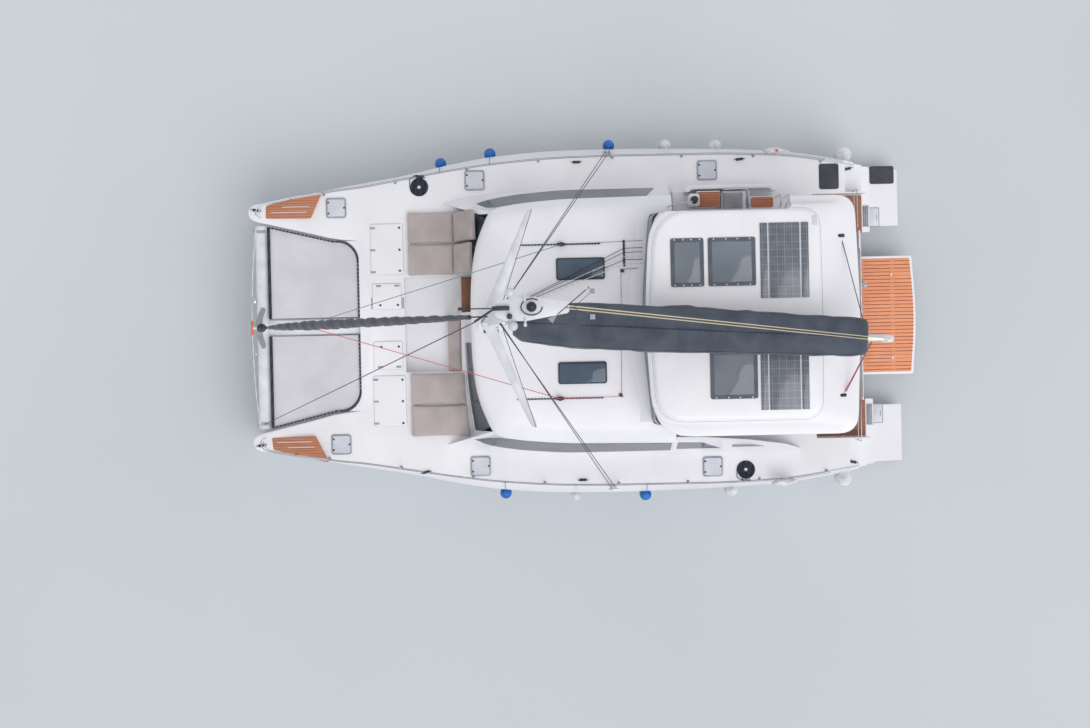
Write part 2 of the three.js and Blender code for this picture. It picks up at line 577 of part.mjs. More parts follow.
// Main stays: two wires each side from the chainplate to the mast
const CHAINPLATE = { x: -620, y: 3800, z: 1640 };
const WIRE = 8;
for (const [name, side] of SIDES) {
  const foot = [CHAINPLATE.x, side * CHAINPLATE.y, CHAINPLATE.z + 60];
  const plate = sideBox(side, CHAINPLATE.x - 60, CHAINPLATE.x + 60, CHAINPLATE.y - 22, CHAINPLATE.y + 22,
    CHAINPLATE.z, CHAINPLATE.z + 110);
  const wires = [HOUNDS, HOUNDS - 900].map((z, i) =>
    bar([foot[0] + (i ? 30 : -30), foot[1], foot[2]], [mastX(z), side * (106 + WIRE), z], WIRE, WIRE, 6));
  part(`${name}_shrouds`, plate.add(wires[0]).add(wires[1]), steel);
}

// Forestay with the furled headsail and its drum
// Sections along the stay. Each row: share of its length, radius.
const FURL_SECTIONS = [[0, 95], [0.006, 95], [0.008, 30], [0.03, 30], [0.05, 80], [0.3, 100], [0.6, 80], [0.93, 45],
  [0.95, 14], [1, 14]];
const STAY_FOOT = [BEAM_X, 0, 2175];
const STAY_HEAD = [mastX(HOUNDS) + 196, 0, HOUNDS];
function furledHeadsail() {
  const profile = FURL_SECTIONS.map(([share, radius]) => new THREE.Vector2(radius, share));
  const start = new THREE.Vector3(...STAY_FOOT);
  const run = new THREE.Vector3(...STAY_HEAD).sub(start);
  const outline = [new THREE.Vector2(0, 0), ...profile, new THREE.Vector2(0, 1)]
    .map((p) => new THREE.Vector2(p.x, p.y * run.length()));
  const sail = new THREE.LatheGeometry(outline, 10);
  sail.applyQuaternion(new THREE.Quaternion().setFromUnitVectors(new THREE.Vector3(0, 1, 0), run.clone().normalize()));
  sail.translate(...STAY_FOOT);
  return solid(sail);
}
part('furled_headsail', furledHeadsail(), canvas);

// Saildrives and propellers
const DRIVE = { x: -5050, y: 2930, z: -920, radius: 75 };
const PROP = { x: DRIVE.x - 330, radius: 230, hub: 58 };
const LEG_FRONT = 190;
// Blade sections. Each row: radius, half chord, thickness.
const BLADE_SECTIONS = [[20, 40, 15], [120, 75, 8], [PROP.radius, 22, 4]];
const propellerBlade = () => skin(BLADE_SECTIONS.map(([radius, half, thick]) => [
  [-half / 2, half, radius], [thick - half / 2, half, radius],
  [half / 2 + thick, -half, radius], [half / 2, -half, radius],
]), 'z');
const turnedAboutX = (body, angle) => solid(geometryOf(body).rotateX(THREE.MathUtils.degToRad(angle)));
for (const [name, side] of SIDES) {
  const y = side * DRIVE.y;
  const leg = upright(foil(DRIVE.x + LEG_FRONT, DRIVE.x - 130, 55, y), DRIVE.z, -250).subtract(hull(side, GAP));
  const pod = bar([DRIVE.x - 260, y, DRIVE.z], [DRIVE.x + 240, y, DRIVE.z], DRIVE.radius, 30, 12);
  part(`${name}_saildrive`, leg.add(pod), aluminium);
  let prop = bar([-60, 0, 0], [60, 0, 0], 35, PROP.hub, 12);
  for (const angle of [90, 210, 330]) prop = prop.add(turnedAboutX(propellerBlade(), angle));
  part(`${name}_propeller`, prop, bronze).position.set(PROP.x, y, DRIVE.z);
}

// Rudders. Each row: height, leading edge, trailing edge, half thickness.
const BLADE_TIERS = [[-330, -6050, -6540, 34], [-1330, -6090, -6420, 20]];
for (const [name, side] of SIDES) {
  const blade = skin(BLADE_TIERS.map(([z, front, back, half]) =>
    foil(front, back, half, side * RUDDER_Y).map(([x, y]) => [x, y, z])), 'z');
  const stock = bar([RUDDER_X, side * RUDDER_Y, -380], [RUDDER_X, side * RUDDER_Y, 20], STOCK_RADIUS, STOCK_RADIUS, 12);
  part(`${name}_rudder`, blade.add(stock), antifouling);
}

// Lids, each on a recess of its own
for (const [name, side] of SIDES) {
  for (const [place, x, y] of DECK_HATCHES) {
    const half = HATCH_SIZE / 2;
    const lid = upright(roundedOutline(-half, half, -half, half, 60), 0, HATCH_THICKNESS);
    part(`${name}_${place}_hatch`, lid, acrylic).position.set(x, side * y, DECK + GAP);
  }
}
for (const [name, side] of SIDES) {
  const { x0, x1, y0, y1, thickness } = ROOF_HATCH;
  const outline = mirrored(roundedOutline(x0, x1, y0, y1, 50), side);
  part(`${name}_roof_hatch`, upright(outline, ROOF_TOP + GAP, ROOF_TOP + GAP + thickness), tinted);
}
const SKYLIGHT_THICKNESS = 30;
for (const [name, x0, x1, y0, y1] of SKYLIGHTS) {
  part(`${name}_skylight`, upright(roundedOutline(x0, x1, y0, y1, 30, 2), HARDTOP_TOP + GAP,
    HARDTOP_TOP + GAP + SKYLIGHT_THICKNESS), tinted);
}
for (const [name, x0, x1, y0, y1] of LOCKER_LIDS) {
  part(`${name}_locker_lid`, upright(roundedOutline(x0, x1, y0, y1, 50, 2), DECK + GAP, DECK + GAP + LID_THICKNESS), gelcoat);
}

// Doors
part('forward_door', box(DOOR.x - DOOR.thickness, DOOR.x, DOOR.y0, DOOR.y1, DOOR.z0, DOOR.z1), tinted);
const SLIDING_DOOR = { x0: -2010, x1: -1972, y0: -270, y1: 730, z0: SOLE + 8, z1: 3000 };
part('saloon_door', box(SLIDING_DOOR.x0, SLIDING_DOOR.x1, SLIDING_DOOR.y0, SLIDING_DOOR.y1,
  SLIDING_DOOR.z0, SLIDING_DOOR.z1), tinted);

// Gooseneck, boom and sail bag, in one group that is turned to port
const boomGroup = new THREE.Group();
boomGroup.position.set(BOOM_PIVOT_X, 0, BOOM_Z);
boomGroup.rotation.z = -THREE.MathUtils.degToRad(BOOM_ANGLE);
boat.add(boomGroup);

const TOGGLE = { front: 42, back: -130, half: 38, height: 60 };
part('gooseneck', box(TOGGLE.back, TOGGLE.front, -TOGGLE.half, TOGGLE.half, -TOGGLE.height, TOGGLE.height),
  steel, boomGroup);

const BOOM_LENGTH = (BOOM_PIVOT_X - BOOM_END) / Math.cos(THREE.MathUtils.degToRad(BOOM_ANGLE));
const BOOM = { front: -170, half: 80, under: -170, top: 160 };
function boom() {
  let body = box(-BOOM_LENGTH, BOOM.front, -BOOM.half, BOOM.half, BOOM.under, BOOM.top);
  for (const side of [1, -1]) {
    body = body.add(sideBox(side, BOOM.front - 40, -60, TOGGLE.half + 6, TOGGLE.half + 30, -50, 50));
  }
  return body;
}
part('boom', boom(), aluminium, boomGroup);

// Sail bag sections. Each row: distance aft of the gooseneck, half width, height above the boom.
const BAG_SECTIONS = [[200, 300, 300], [420, 430, 560], [1500, 450, 640], [4000, 440, 560], [7380, 370, 400], [7460, 330, 320]];
const bagRing = ([distance, half, height]) => [
  [-half * 0.35, 0], [-half * 0.85, height * 0.12], [-half, height * 0.5], [-half * 0.8, height * 0.85],
  [-half * 0.3, height], [half * 0.3, height], [half * 0.8, height * 0.85], [half, height * 0.5],
  [half * 0.85, height * 0.12], [half * 0.35, 0],
].map(([y, z]) => [-distance, y, BOOM.top + GAP + z]);
part('sail_bag', skin(BAG_SECTIONS.map(bagRing), 'x'), canvas, boomGroup);

// Swim platform, carried on the transom's lift rails
const PLATFORM = { front: -6445, back: -7650, bow: 100, half: 1360, under: 500, top: 580 };
const CARRIAGE = { half: 50, top: 1250, front: -6438, back: -6500 };
const platformAft = Array.from({ length: 7 }, (_, i) => {
  const y = PLATFORM.half * (1 - i / 3);
  return [PLATFORM.back - PLATFORM.bow * (1 - (y / PLATFORM.half) ** 2), y];
});
function swimPlatform() {
  let body = upright([[PLATFORM.front, -PLATFORM.half], [PLATFORM.front, PLATFORM.half], ...platformAft],
    PLATFORM.under, PLATFORM.top);
  for (const side of [1, -1]) {
    body = body.add(sideBox(side, CARRIAGE.back, CARRIAGE.front, RAIL_Y - CARRIAGE.half, RAIL_Y + CARRIAGE.half,
      PLATFORM.under, CARRIAGE.top));
  }
  return body;
}
part('swim_platform', swimPlatform(), teak);

export default boat;
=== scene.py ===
import bisect
import bpy
import bmesh
import random
from math import cos, pi, radians, sin
from mathutils import Matrix, Vector
from mathutils.bvhtree import BVHTree


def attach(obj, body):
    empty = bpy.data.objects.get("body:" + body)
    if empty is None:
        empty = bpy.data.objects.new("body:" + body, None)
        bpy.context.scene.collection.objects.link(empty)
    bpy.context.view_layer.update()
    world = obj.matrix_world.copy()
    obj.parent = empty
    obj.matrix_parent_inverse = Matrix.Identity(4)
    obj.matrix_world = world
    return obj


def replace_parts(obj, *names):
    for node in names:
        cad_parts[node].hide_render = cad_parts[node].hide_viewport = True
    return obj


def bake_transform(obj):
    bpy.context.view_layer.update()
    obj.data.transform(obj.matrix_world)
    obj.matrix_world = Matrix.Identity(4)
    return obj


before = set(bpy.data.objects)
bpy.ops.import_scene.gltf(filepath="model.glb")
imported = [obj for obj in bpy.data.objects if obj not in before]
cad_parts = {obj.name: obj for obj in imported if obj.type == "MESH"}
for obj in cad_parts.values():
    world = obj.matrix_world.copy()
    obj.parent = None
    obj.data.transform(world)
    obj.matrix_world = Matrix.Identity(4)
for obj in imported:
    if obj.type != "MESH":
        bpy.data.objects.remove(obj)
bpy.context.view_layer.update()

SIDES = (("port", 1), ("starboard", -1))
SIDE_NAME = {side: name for name, side in SIDES}

# Camera: above the boat, with the bows to the left, on a 36 mm wide sensor
CAMERA_AT = (1.0556, 0.2788, 45.0)
LENS = 63.70
ROLL, TILT_X, TILT_Y = 0.0215, 0.0152, -0.0052


def set_camera():
    right, up, back = Vector((-1, 0, 0)), Vector((0, -1, 0)), Vector((0, 0, 1))
    c, s = cos(ROLL), sin(ROLL)
    right, up = c * right - s * up, s * right + c * up
    c, s = cos(TILT_X), sin(TILT_X)
    up, back = c * up - s * back, s * up + c * back
    c, s = cos(TILT_Y), sin(TILT_Y)
    right, back = c * right - s * back, s * right + c * back
    data = bpy.data.cameras.new("camera")
    data.lens = LENS
    data.clip_end = 400
    camera = bpy.data.objects.new("camera", data)
    bpy.context.scene.collection.objects.link(camera)
    axes = Matrix((right, up, back)).transposed().to_4x4()
    camera.matrix_world = Matrix.Translation(CAMERA_AT) @ axes
    bpy.context.scene.camera = camera


set_camera()


# Materials
def linear(code):
    parts = [int(code[i:i + 2], 16) / 255 for i in (1, 3, 5)]
    return [c / 12.92 if c <= 0.04045 else ((c + 0.055) / 1.055) ** 2.4 for c in parts] + [1.0]


def add(tree, kind, inputs, **settings):
    """Adds a node, sets its attributes, and sets or links its inputs."""
    node = tree.nodes.new("ShaderNode" + kind)
    for key, value in settings.items():
        setattr(node, key, value)
    for key, value in inputs.items():
        if isinstance(value, bpy.types.NodeSocket):
            tree.links.new(value, node.inputs[key])
        else:
            node.inputs[key].default_value = value
    return node


def surface(name, base, roughness, **more):
    """A material with one Principled shader. more holds its other inputs."""
    made = bpy.data.materials.new(name)
    made.use_nodes = True
    tree = made.node_tree
    shader = tree.nodes["Principled BSDF"]
    shader.inputs["Base Color"].default_value = linear(base)
    shader.inputs["Roughness"].default_value = roughness
    for key, value in more.items():
        shader.inputs[key.replace("_", " ")].default_value = value
    made.diffuse_color = linear(base)
    return made, tree, shader, add(tree, "TexCoord", {}).outputs["Object"]


def clouded(tree, place, dark, light, scale, detail=4, squeeze=(0.35, 0.65)):
    """A colour that drifts between two, in patches of about 1 / scale metres."""
    noise = add(tree, "TexNoise", {"Vector": place, "Scale": scale, "Detail": detail})
    ramp = add(tree, "ValToRGB", {0: noise.outputs[0]})
    for element, position, code in zip(ramp.color_ramp.elements, squeeze, (dark, light)):
        element.position, element.color = position, linear(code)
    return ramp.outputs[0]


def drifting(name, dark, light, roughness, scale, detail=4, **more):
    """A surface with a clouded colour."""
    made, tree, shader, place = surface(name, light, roughness, **more)
    tree.links.new(clouded(tree, place, dark, light, scale, detail), shader.inputs["Base Color"])
    return made, tree, shader, place


def grain(tree, shader, place, millimetres, height, strength=0.4, stretch=(1, 1, 1)):
    """Fine relief: spots of about that size and height."""
    turned = add(tree, "Mapping", {"Vector": place, "Scale": stretch})
    noise = add(tree, "TexNoise", {"Vector": turned.outputs[0], "Scale": 1000 / millimetres, "Detail": 2})
    bump = add(tree, "Bump", {"Strength": strength, "Distance": height / 1000, "Height": noise.outputs[0]})
    tree.links.new(bump.outputs[0], shader.inputs["Normal"])
    return noise.outputs[0]


def stripes(tree, value, pitch, width):
    """1 on lines of that width, one each pitch, along a coordinate."""
    number = add(tree, "Math", {0: value, 1: pitch}, operation="DIVIDE")
    share = add(tree, "Math", {0: number.outputs[0]}, operation="FRACT")
    return add(tree, "Math", {0: share.outputs[0], 1: width / pitch}, operation="LESS_THAN").outputs[0]


def gelcoat(name, dark, light, roughness, grit, height):
    # Gelcoat on polyester: a hard white gloss with a faint unevenness in the reflections
    made, tree, shader, place = drifting(name, dark, light, roughness, 0.7, Coat_Weight=0.15, Coat_Roughness=0.1)
    grain(tree, shader, place, grit, height, 0.35)
    return made


roof_white = gelcoat("gelcoat_smooth", "#eae9ee", "#f2f1f5", 0.28, 400, 1.5)
# Moulded anti-slip pattern: 3 mm points, drawn 14 mm apart so that they show
deck_white = gelcoat("gelcoat_antislip", "#e6e5e9", "#eeedf1", 0.55, 14, 1.2)
# Heights of the boot stripe on the topsides
STRIPE_LOW, STRIPE_HIGH = 0.07, 0.10


def hull_paint():
    # Gelcoat topsides over dark self-polishing bottom paint, with a thin grey boot stripe at the waterline
    made, tree, shader, place = surface("hull_gelcoat", "#efeef2", 0.25, Coat_Weight=0.15, Coat_Roughness=0.08)
    height = add(tree, "SeparateXYZ", {0: place}).outputs["Z"]
    above = add(tree, "Math", {0: height, 1: STRIPE_HIGH}, operation="GREATER_THAN").outputs[0]
    stripe = add(tree, "Math", {0: height, 1: STRIPE_LOW}, operation="GREATER_THAN").outputs[0]
    white = clouded(tree, place, "#e8e7ec", "#f1f0f4", 0.5)
    paint = clouded(tree, place, "#252f3d", "#313e50", 6)
    low = add(tree, "Mix", {0: stripe, 6: paint, 7: linear("#8d929b")}, data_type="RGBA").outputs[2]
    colour = add(tree, "Mix", {0: above, 6: low, 7: white}, data_type="RGBA").outputs[2]
    tree.links.new(colour, shader.inputs["Base Color"])
    gloss = add(tree, "Math", {0: above, 1: -0.5, 2: 0.75}, operation="MULTIPLY_ADD").outputs[0]
    tree.links.new(gloss, shader.inputs["Roughness"])
    grain(tree, shader, place, 300, 1.0, 0.3)
    return made


hull_white = hull_paint()


def metal(name, base, roughness, streak=1.0):
    made, tree, shader, place = surface(name, base, roughness, Metallic=1.0)
    noise = grain(tree, shader, place, 30, 0.3, 0.2, (streak, 1, 1))
    spread = add(tree, "Math", {0: noise, 1: 0.2, 2: roughness - 0.08}, operation="MULTIPLY_ADD")
    tree.links.new(spread.outputs[0], shader.inputs["Roughness"])
    return made


# Natural anodised aluminium: satin, brightest along the extrusion
anodised = metal("anodised_aluminium", "#dfe0e3", 0.4, 0.1)
# Polished stainless steel: mirror-like, slightly blue
stainless = metal("stainless_steel", "#c6c9ce", 0.18)
# Manganese bronze: dull yellow with brown patches
bronze = metal("cast_bronze", "#a58152", 0.35)
# Stranded wire, its whole colour darkened as painted shade standing for the shade in its lays
wire_steel = metal("rigging_wire", "#4c4d55", 0.45)


def lacquer(name, dark, light, roughness=0.35, scale=3.0, **more):
    """Paint or moulded plastic with a slight drift in its shade."""
    made, tree, shader, place = drifting(name, dark, light, roughness, scale, **more)
    grain(tree, shader, place, 8, 0.3, 0.2)
    return made


# Spars and beam: white two-pack paint, a little greyer than the gelcoat
spar_white = lacquer("painted_spar", "#cfd0d6", "#e3e3e8", 0.3)
beam_grey = lacquer("painted_beam", "#d6d6dc", "#e6e6ea", 0.35)
# Black acetal and anodising on blocks, cars, cleats and latches
fitting_black = lacquer("black_fitting", "#1d2126", "#33373e", 0.4)
fitting_grey = lacquer("grey_fitting", "#8c8f97", "#a5a8af", 0.4)
# Flat grey laid in grooves and in the gutter beside the lockers: painted shade
groove_shade_grey = lacquer("grey_groove_shade", "#9a9ca5", "#b3b5bd", 0.6)
toe_grey = lacquer("pale_moulding", "#c3c4ca", "#d2d3d8", 0.5)
# Ceramic edge printing round the skylights
frame_grey = lacquer("dark_edge_print", "#4c525b", "#5a616b", 0.3)
rubber = lacquer("black_rubber", "#22262c", "#30343b", 0.7)
roller_orange = lacquer("orange_polyurethane", "#d8573a", "#ee7a55", 0.45)
antifouling = lacquer("bottom_paint", "#252f3d", "#313e50", 0.8, 6)
hatch_frost = lacquer("frosted_acrylic", "#c6c9d3", "#d5d8e0", 0.25, 2.0, Coat_Weight=0.4)
# Blown vinyl of the fenders, scuffed and slightly grey, and its blue end caps
fender_white = lacquer("fender_vinyl_white", "#cfd0d4", "#e9e9ec", 0.5, 7)
fender_blue = lacquer("fender_vinyl_blue", "#185fb4", "#2a78cc", 0.45, 7)
# Darker teak brown for the swim platform's grooves: painted shade
groove_shade_brown = lacquer("teak_groove_shade", "#7c4630", "#97593f", 0.8, 9)


def glazing(name, dark, light, transmission=0.35):
    # Tinted acrylic: dark, glossy, with a dim view through it
    made, tree, shader, place = drifting(name, dark, light, 0.06, 0.9, 2, IOR=1.49, Transmission_Weight=transmission)
    grain(tree, shader, place, 900, 1.0, 0.15)
    return made


side_glass = glazing("tinted_acrylic_side", "#666c75", "#767c85", 0.12)
front_glass = glazing("tinted_acrylic_front", "#4b5a68", "#61707c", 0.2)
# Roof hatches: a dark tint, its blue-grey partly a painted sky reflection
roof_tint_and_reflection = glazing("tinted_acrylic_roof_and_reflection", "#4d5f72", "#647688")
clear_glass = glazing("smoke_acrylic", "#8994a1", "#9ba5b1", 0.45)


def teak(name, dark, light, plank):
    # Teak laid in planks with black caulking: orange-brown, darker along the grain
    made, tree, shader, place = surface(name, light, 0.6)
    line = add(tree, "SeparateXYZ", {0: place}).outputs["Y"]
    turned = add(tree, "Mapping", {"Vector": place, "Scale": (1, 30, 1)}).outputs[0]
    wood = clouded(tree, turned, dark, light, 3, 6, (0.3, 0.7))
    share = add(tree, "Math", {0: line, 1: plank}, operation="DIVIDE")
    number = add(tree, "Math", {0: share.outputs[0]}, operation="FLOOR").outputs[0]
    shade = add(tree, "TexWhiteNoise", {"W": number}, noise_dimensions="1D").outputs[0]
    shade = add(tree, "Math", {0: shade, 1: 0.35}, operation="MULTIPLY").outputs[0]
    wood = add(tree, "Mix", {0: shade, 6: wood, 7: linear(dark)}, data_type="RGBA").outputs[2]
    seam = stripes(tree, line, plank, 0.006)
    laid = add(tree, "Mix", {0: seam, 6: wood, 7: linear("#4b3a33")}, data_type="RGBA").outputs[2]
    tree.links.new(laid, shader.inputs["Base Color"])
    grain(tree, shader, turned, 40, 0.5, 0.3)
    return made


platform_teak = teak("teak_platform", "#e08c62", "#f5ab84", 0.083)
step_teak = teak("teak_steps", "#b3704f", "#cf8a66", 0.06)
sole_teak = teak("teak_sole", "#8f5f47", "#b37c5c", 0.06)


def cloth(name, dark, light, thread, roughness=0.9):
    # Woven cloth: thread spacing in millimetres, drawn coarser than the real 1 mm so that it shows
    made, tree, shader, place = drifting(name, dark, light, roughness, 2.2, 5, Sheen_Weight=0.2)
    waves = [add(tree, "TexWave", {"Vector": place, "Scale": 1000 / thread / 20, "Distortion": 0.4},
                 bands_direction=axis).outputs["Fac"] for axis in ("X", "Y")]
    weave = add(tree, "Math", {0: waves[0], 1: waves[1]}, operation="MULTIPLY").outputs[0]
    bump = add(tree, "Bump", {"Strength": 0.35, "Distance": 0.002, "Height": weave})
    tree.links.new(bump.outputs[0], shader.inputs["Normal"])
    return made


# Acrylic canvas of the sail bag: slate blue-grey, matt
bag_canvas = cloth("acrylic_canvas", "#3f4652", "#4f5763", 12)
# Suncover along the rolled sail's edge: darker, faded in bands
sail_cover = cloth("sail_suncover", "#30313d", "#464858", 12)
# Woven vinyl of the cushions: taupe, greyer aft, and the grey cover of the outer helm seat
cushion_cloth = cloth("woven_vinyl", "#aba09e", "#b9aeac", 8, 0.8)
seat_cloth = cloth("woven_vinyl_grey", "#8c8886", "#a19c99", 8, 0.8)
helm_cloth = cloth("helm_seat_cloth", "#8f9096", "#9d9ea4", 4, 0.8)
# Ribbed rubber-backed mats, dark and bare
mat_cloth = cloth("ribbed_mat", "#3a3c44", "#494b54", 14)


def netting():
    # Knotless polyester net: 20 mm squares of white cord, drawn 36 mm so that they show, open between
    made, tree, shader, place = surface("knotless_net", "#dedae0", 0.85)
    turned = add(tree, "Mapping", {"Vector": place, "Rotation": (0, 0, pi / 4)})
    parts = add(tree, "SeparateXYZ", {0: turned.outputs[0]})
    lines = [stripes(tree, parts.outputs[axis], 0.036, 0.022) for axis in ("X", "Y")]
    cord = add(tree, "Math", {0: lines[0], 1: lines[1]}, operation="MAXIMUM")
    tree.links.new(clouded(tree, place, "#d5d1d8", "#e2dee4", 1.3), shader.inputs["Base Color"])
    tree.links.new(cord.outputs[0], shader.inputs["Alpha"])
    return made


net_white = netting()
# Solar cells and the pitch of their bus bars, metres
CELL, BUS_BAR = 0.157, 0.0523


def solar():
    # Glazed silicon cells: 157 mm squares with bright gaps and three silver bus bars each
    made, tree, shader, place = surface("solar_cells", "#5d626c", 0.25, Coat_Weight=0.6, Coat_Roughness=0.1)
    parts = add(tree, "SeparateXYZ", {0: place})
    colour = clouded(tree, place, "#565b66", "#656a76", 5)
    bars = stripes(tree, parts.outputs["X"], BUS_BAR, 0.007)
    gaps = add(tree, "Math", {0: stripes(tree, parts.outputs["X"], CELL, 0.010),
                              1: stripes(tree, parts.outputs["Y"], CELL, 0.009)}, operation="MAXIMUM").outputs[0]
    for lines, share, code in ((bars, 0.35, "#9398a4"), (gaps, 0.5, "#a7abb8")):
        faint = add(tree, "Math", {0: lines, 1: share}, operation="MULTIPLY").outputs[0]
        colour = add(tree, "Mix", {0: faint, 6: colour, 7: linear(code)}, data_type="RGBA").outputs[2]
    tree.links.new(colour, shader.inputs["Base Color"])
    return made


cell_blue = solar()


def rope(name, dark, light):
    # Braided polyester: short diagonal strands, 12 mm long
    made, tree, shader, place = surface(name, light, 0.85)
    turned = add(tree, "Mapping", {"Vector": place, "Rotation": (0.6, 0.6, 0.6)})
    strand = add(tree, "TexWave", {"Vector": turned.outputs[0], "Scale": 4.0, "Distortion": 1.5}).outputs["Fac"]
    colour = add(tree, "Mix", {0: strand, 6: linear(dark), 7: linear(light)}, data_type="RGBA")
    tree.links.new(colour.outputs[2], shader.inputs["Base Color"])
    bump = add(tree, "Bump", {"Strength": 0.4, "Distance": 0.002, "Height": strand})
    tree.links.new(bump.outputs[0], shader.inputs["Normal"])
    return made


rope_blue = rope("braid_blue", "#1c4f8e", "#2f74c0")
rope_black = rope("braid_black", "#1f2330", "#3a3f50")
rope_white = rope("braid_white", "#cfcfd2", "#eeeef0")
rope_cream = rope("braid_cream", "#c9b892", "#e4d8b8")
rope_red = rope("braid_red", "#b8404c", "#e2707a")
rope_purple = rope("braid_purple", "#4a3348", "#6d4c66")
rope_green = rope("braid_green", "#5d7a7c", "#84a0a2")

# The record's slot that each material shows. A material that isn't here shows none.
SLOTS = {
    "gelcoat": (roof_white, deck_white, hull_white, hatch_frost),
    "anodised_aluminium": (anodised, fitting_black, fitting_grey, spar_white, beam_grey, frame_grey),
    "stainless_steel": (stainless, wire_steel),
    "acrylic_canvas": (fender_white, fender_blue, sail_cover),
    "upholstery": (cushion_cloth, seat_cloth, helm_cloth, mat_cloth),
    "teak": (platform_teak, step_teak, sole_teak, groove_shade_brown),
    "tinted_pane": (side_glass, front_glass),
    "acrylic_lid": (roof_tint_and_reflection, clear_glass),
    "netting": (net_white,),
    "solar_cells": (cell_blue,),
    "antifouling": (antifouling,),
    "bronze": (bronze,),
}
SLOT_OF = {material.name: slot for slot, group in SLOTS.items() for material in group}


# Making pieces
def place_mesh(mesh, name, materials, body, slot, smooth):
    piece = bpy.data.objects.new(name, mesh)
    bpy.context.scene.collection.objects.link(piece)
    for material in materials:
        mesh.materials.append(material)
    for face in mesh.polygons:
        face.use_smooth = smooth is not None
    if smooth is not None:
        mesh.set_sharp_from_angle(angle=radians(smooth))
    if body:
        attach(piece, body)
    if slot is None:
        slot = SLOT_OF.get(materials[0].name)
    return piece


def made(bm, name, materials, body="boat", slot=None, smooth=35):
    """Turns a bmesh into a finished piece on a body. Its slot is looked up but not kept."""
    mesh = bpy.data.meshes.new(name)
    bm.to_mesh(mesh)
    bm.free()
    return place_mesh(mesh, name, materials if isinstance(materials, list) else [materials], body, slot, smooth)


def loft(rings, caps=True, bm=None):
    """A skin through rings of equal length, extruded from the first ring to the last."""
    bm = bm or bmesh.new()
    count = len(rings[0])
    ring = [bm.verts.new(p) for p in rings[0]]
    edges = [bm.edges.new((ring[i], ring[(i + 1) % count])) for i in range(count)]
    faces = [bm.faces.new(ring)] if caps else []
    for target in rings[1:]:
        index = {v: i for i, v in enumerate(ring)}
        geometry = bmesh.ops.extrude_edge_only(bm, edges=edges)["geom"]
        fresh = [None] * count
        for v in geometry:
            if isinstance(v, bmesh.types.BMVert):
                for e in v.link_edges:
                    if e.other_vert(v) in index:
                        fresh[index[e.other_vert(v)]] = v
            elif isinstance(v, bmesh.types.BMFace):
                faces.append(v)
        for v, p in zip(fresh, target):
            v.co = p
        ring = fresh
        edges = [bm.edges.get((ring[i], ring[(i + 1) % count])) for i in range(count)]
    if caps:
        faces.append(bm.faces.new(ring))
    bmesh.ops.recalc_face_normals(bm, faces=faces)
    return bm


def filleted(points, reach, steps=4, closed=True):
    """A line with its corners rounded. reach is how far from each corner the rounding starts."""
    count = len(points)
    reaches = reach if isinstance(reach, (list, tuple)) else [reach] * count
    out = []
    for i, point in enumerate(points):
        p = Vector(point)
        if not closed and i in (0, count - 1):
            out.append(p)
            continue
        before, after = Vector(points[i - 1]), Vector(points[(i + 1) % count])
        to_before, to_after = before - p, after - p
        a = p + to_before.normalized() * min(reaches[i], 0.49 * to_before.length)
        b = p + to_after.normalized() * min(reaches[i], 0.49 * to_after.length)
        for k in range(steps + 1):
            t = k / steps
            out.append(a * (1 - t) ** 2 + p * 2 * t * (1 - t) + b * t * t)
    return out


def bent(points, reach, steps=4):
    """An open line with rounded corners."""
    return filleted(points, reach, steps, closed=False)


def angles(count):
    return [2 * pi * k / count for k in range(count)]


def track(rows):
    """The other columns of a table as a smooth function of its first column, without overshoot."""
    rows = sorted(rows)
    xs = [r[0] for r in rows]
    columns = list(zip(*rows))[1:]
    slopes = []
    for c in columns:
        steps = [(c[i + 1] - c[i]) / (xs[i + 1] - xs[i]) for i in range(len(xs) - 1)]
        inner = [0 if a * b <= 0 else 2 * a * b / (a + b) for a, b in zip(steps, steps[1:])]
        slopes.append([steps[0], *inner, steps[-1]])

    def at(x):
        i = min(max(bisect.bisect_right(xs, x) - 1, 0), len(xs) - 2)
        h = xs[i + 1] - xs[i]
        t = min(max((x - xs[i]) / h, 0), 1)
        near, near_slope = (1 + 2 * t) * (1 - t) ** 2, t * (1 - t) ** 2 * h
        far, far_slope = t * t * (3 - 2 * t), t * t * (t - 1) * h
        return [near * c[i] + near_slope * m[i] + far * c[i + 1] + far_slope * m[i + 1]
                for c, m in zip(columns, slopes)]
    return at


def smooth_line(points, steps=6):
    """A smooth line through points."""
    out = []
    for i in range(len(points) - 1):
        p = [Vector(points[min(max(k, 0), len(points) - 1)]) for k in range(i - 1, i + 3)]
        for k in range(steps):
            t = k / steps
            out.append(0.5 * (2 * p[1] + (p[2] - p[0]) * t + (2 * p[0] - 5 * p[1] + 4 * p[2] - p[3]) * t * t
                              + (3 * p[1] - p[0] - 3 * p[2] + p[3]) * t ** 3))
    return out + [Vector(points[-1])]


def tubes(name, runs, radius, material, body="boat", slot=None, resolution=3, closed=False):
    """Round bars or ropes along lines, as one piece."""
    curve = bpy.data.curves.new(name, "CURVE")
    curve.dimensions = "3D"
    curve.bevel_depth = radius
    curve.bevel_resolution = resolution
    curve.use_fill_caps = True
    for run in runs:
        spline = curve.splines.new("POLY")
        spline.points.add(len(run) - 1)
        for point, co in zip(spline.points, run):
            point.co = (*co, 1)
        spline.use_cyclic_u = closed
    source = bpy.data.objects.new(name, curve)
    bpy.context.scene.collection.objects.link(source)
    graph = bpy.context.evaluated_depsgraph_get()
    mesh = bpy.data.meshes.new_from_object(source.evaluated_get(graph))
    bpy.data.objects.remove(source)
    bpy.data.curves.remove(curve)
    mesh.name = name
    mesh.materials.clear()
    return place_mesh(mesh, name, [material], body, slot, 50)


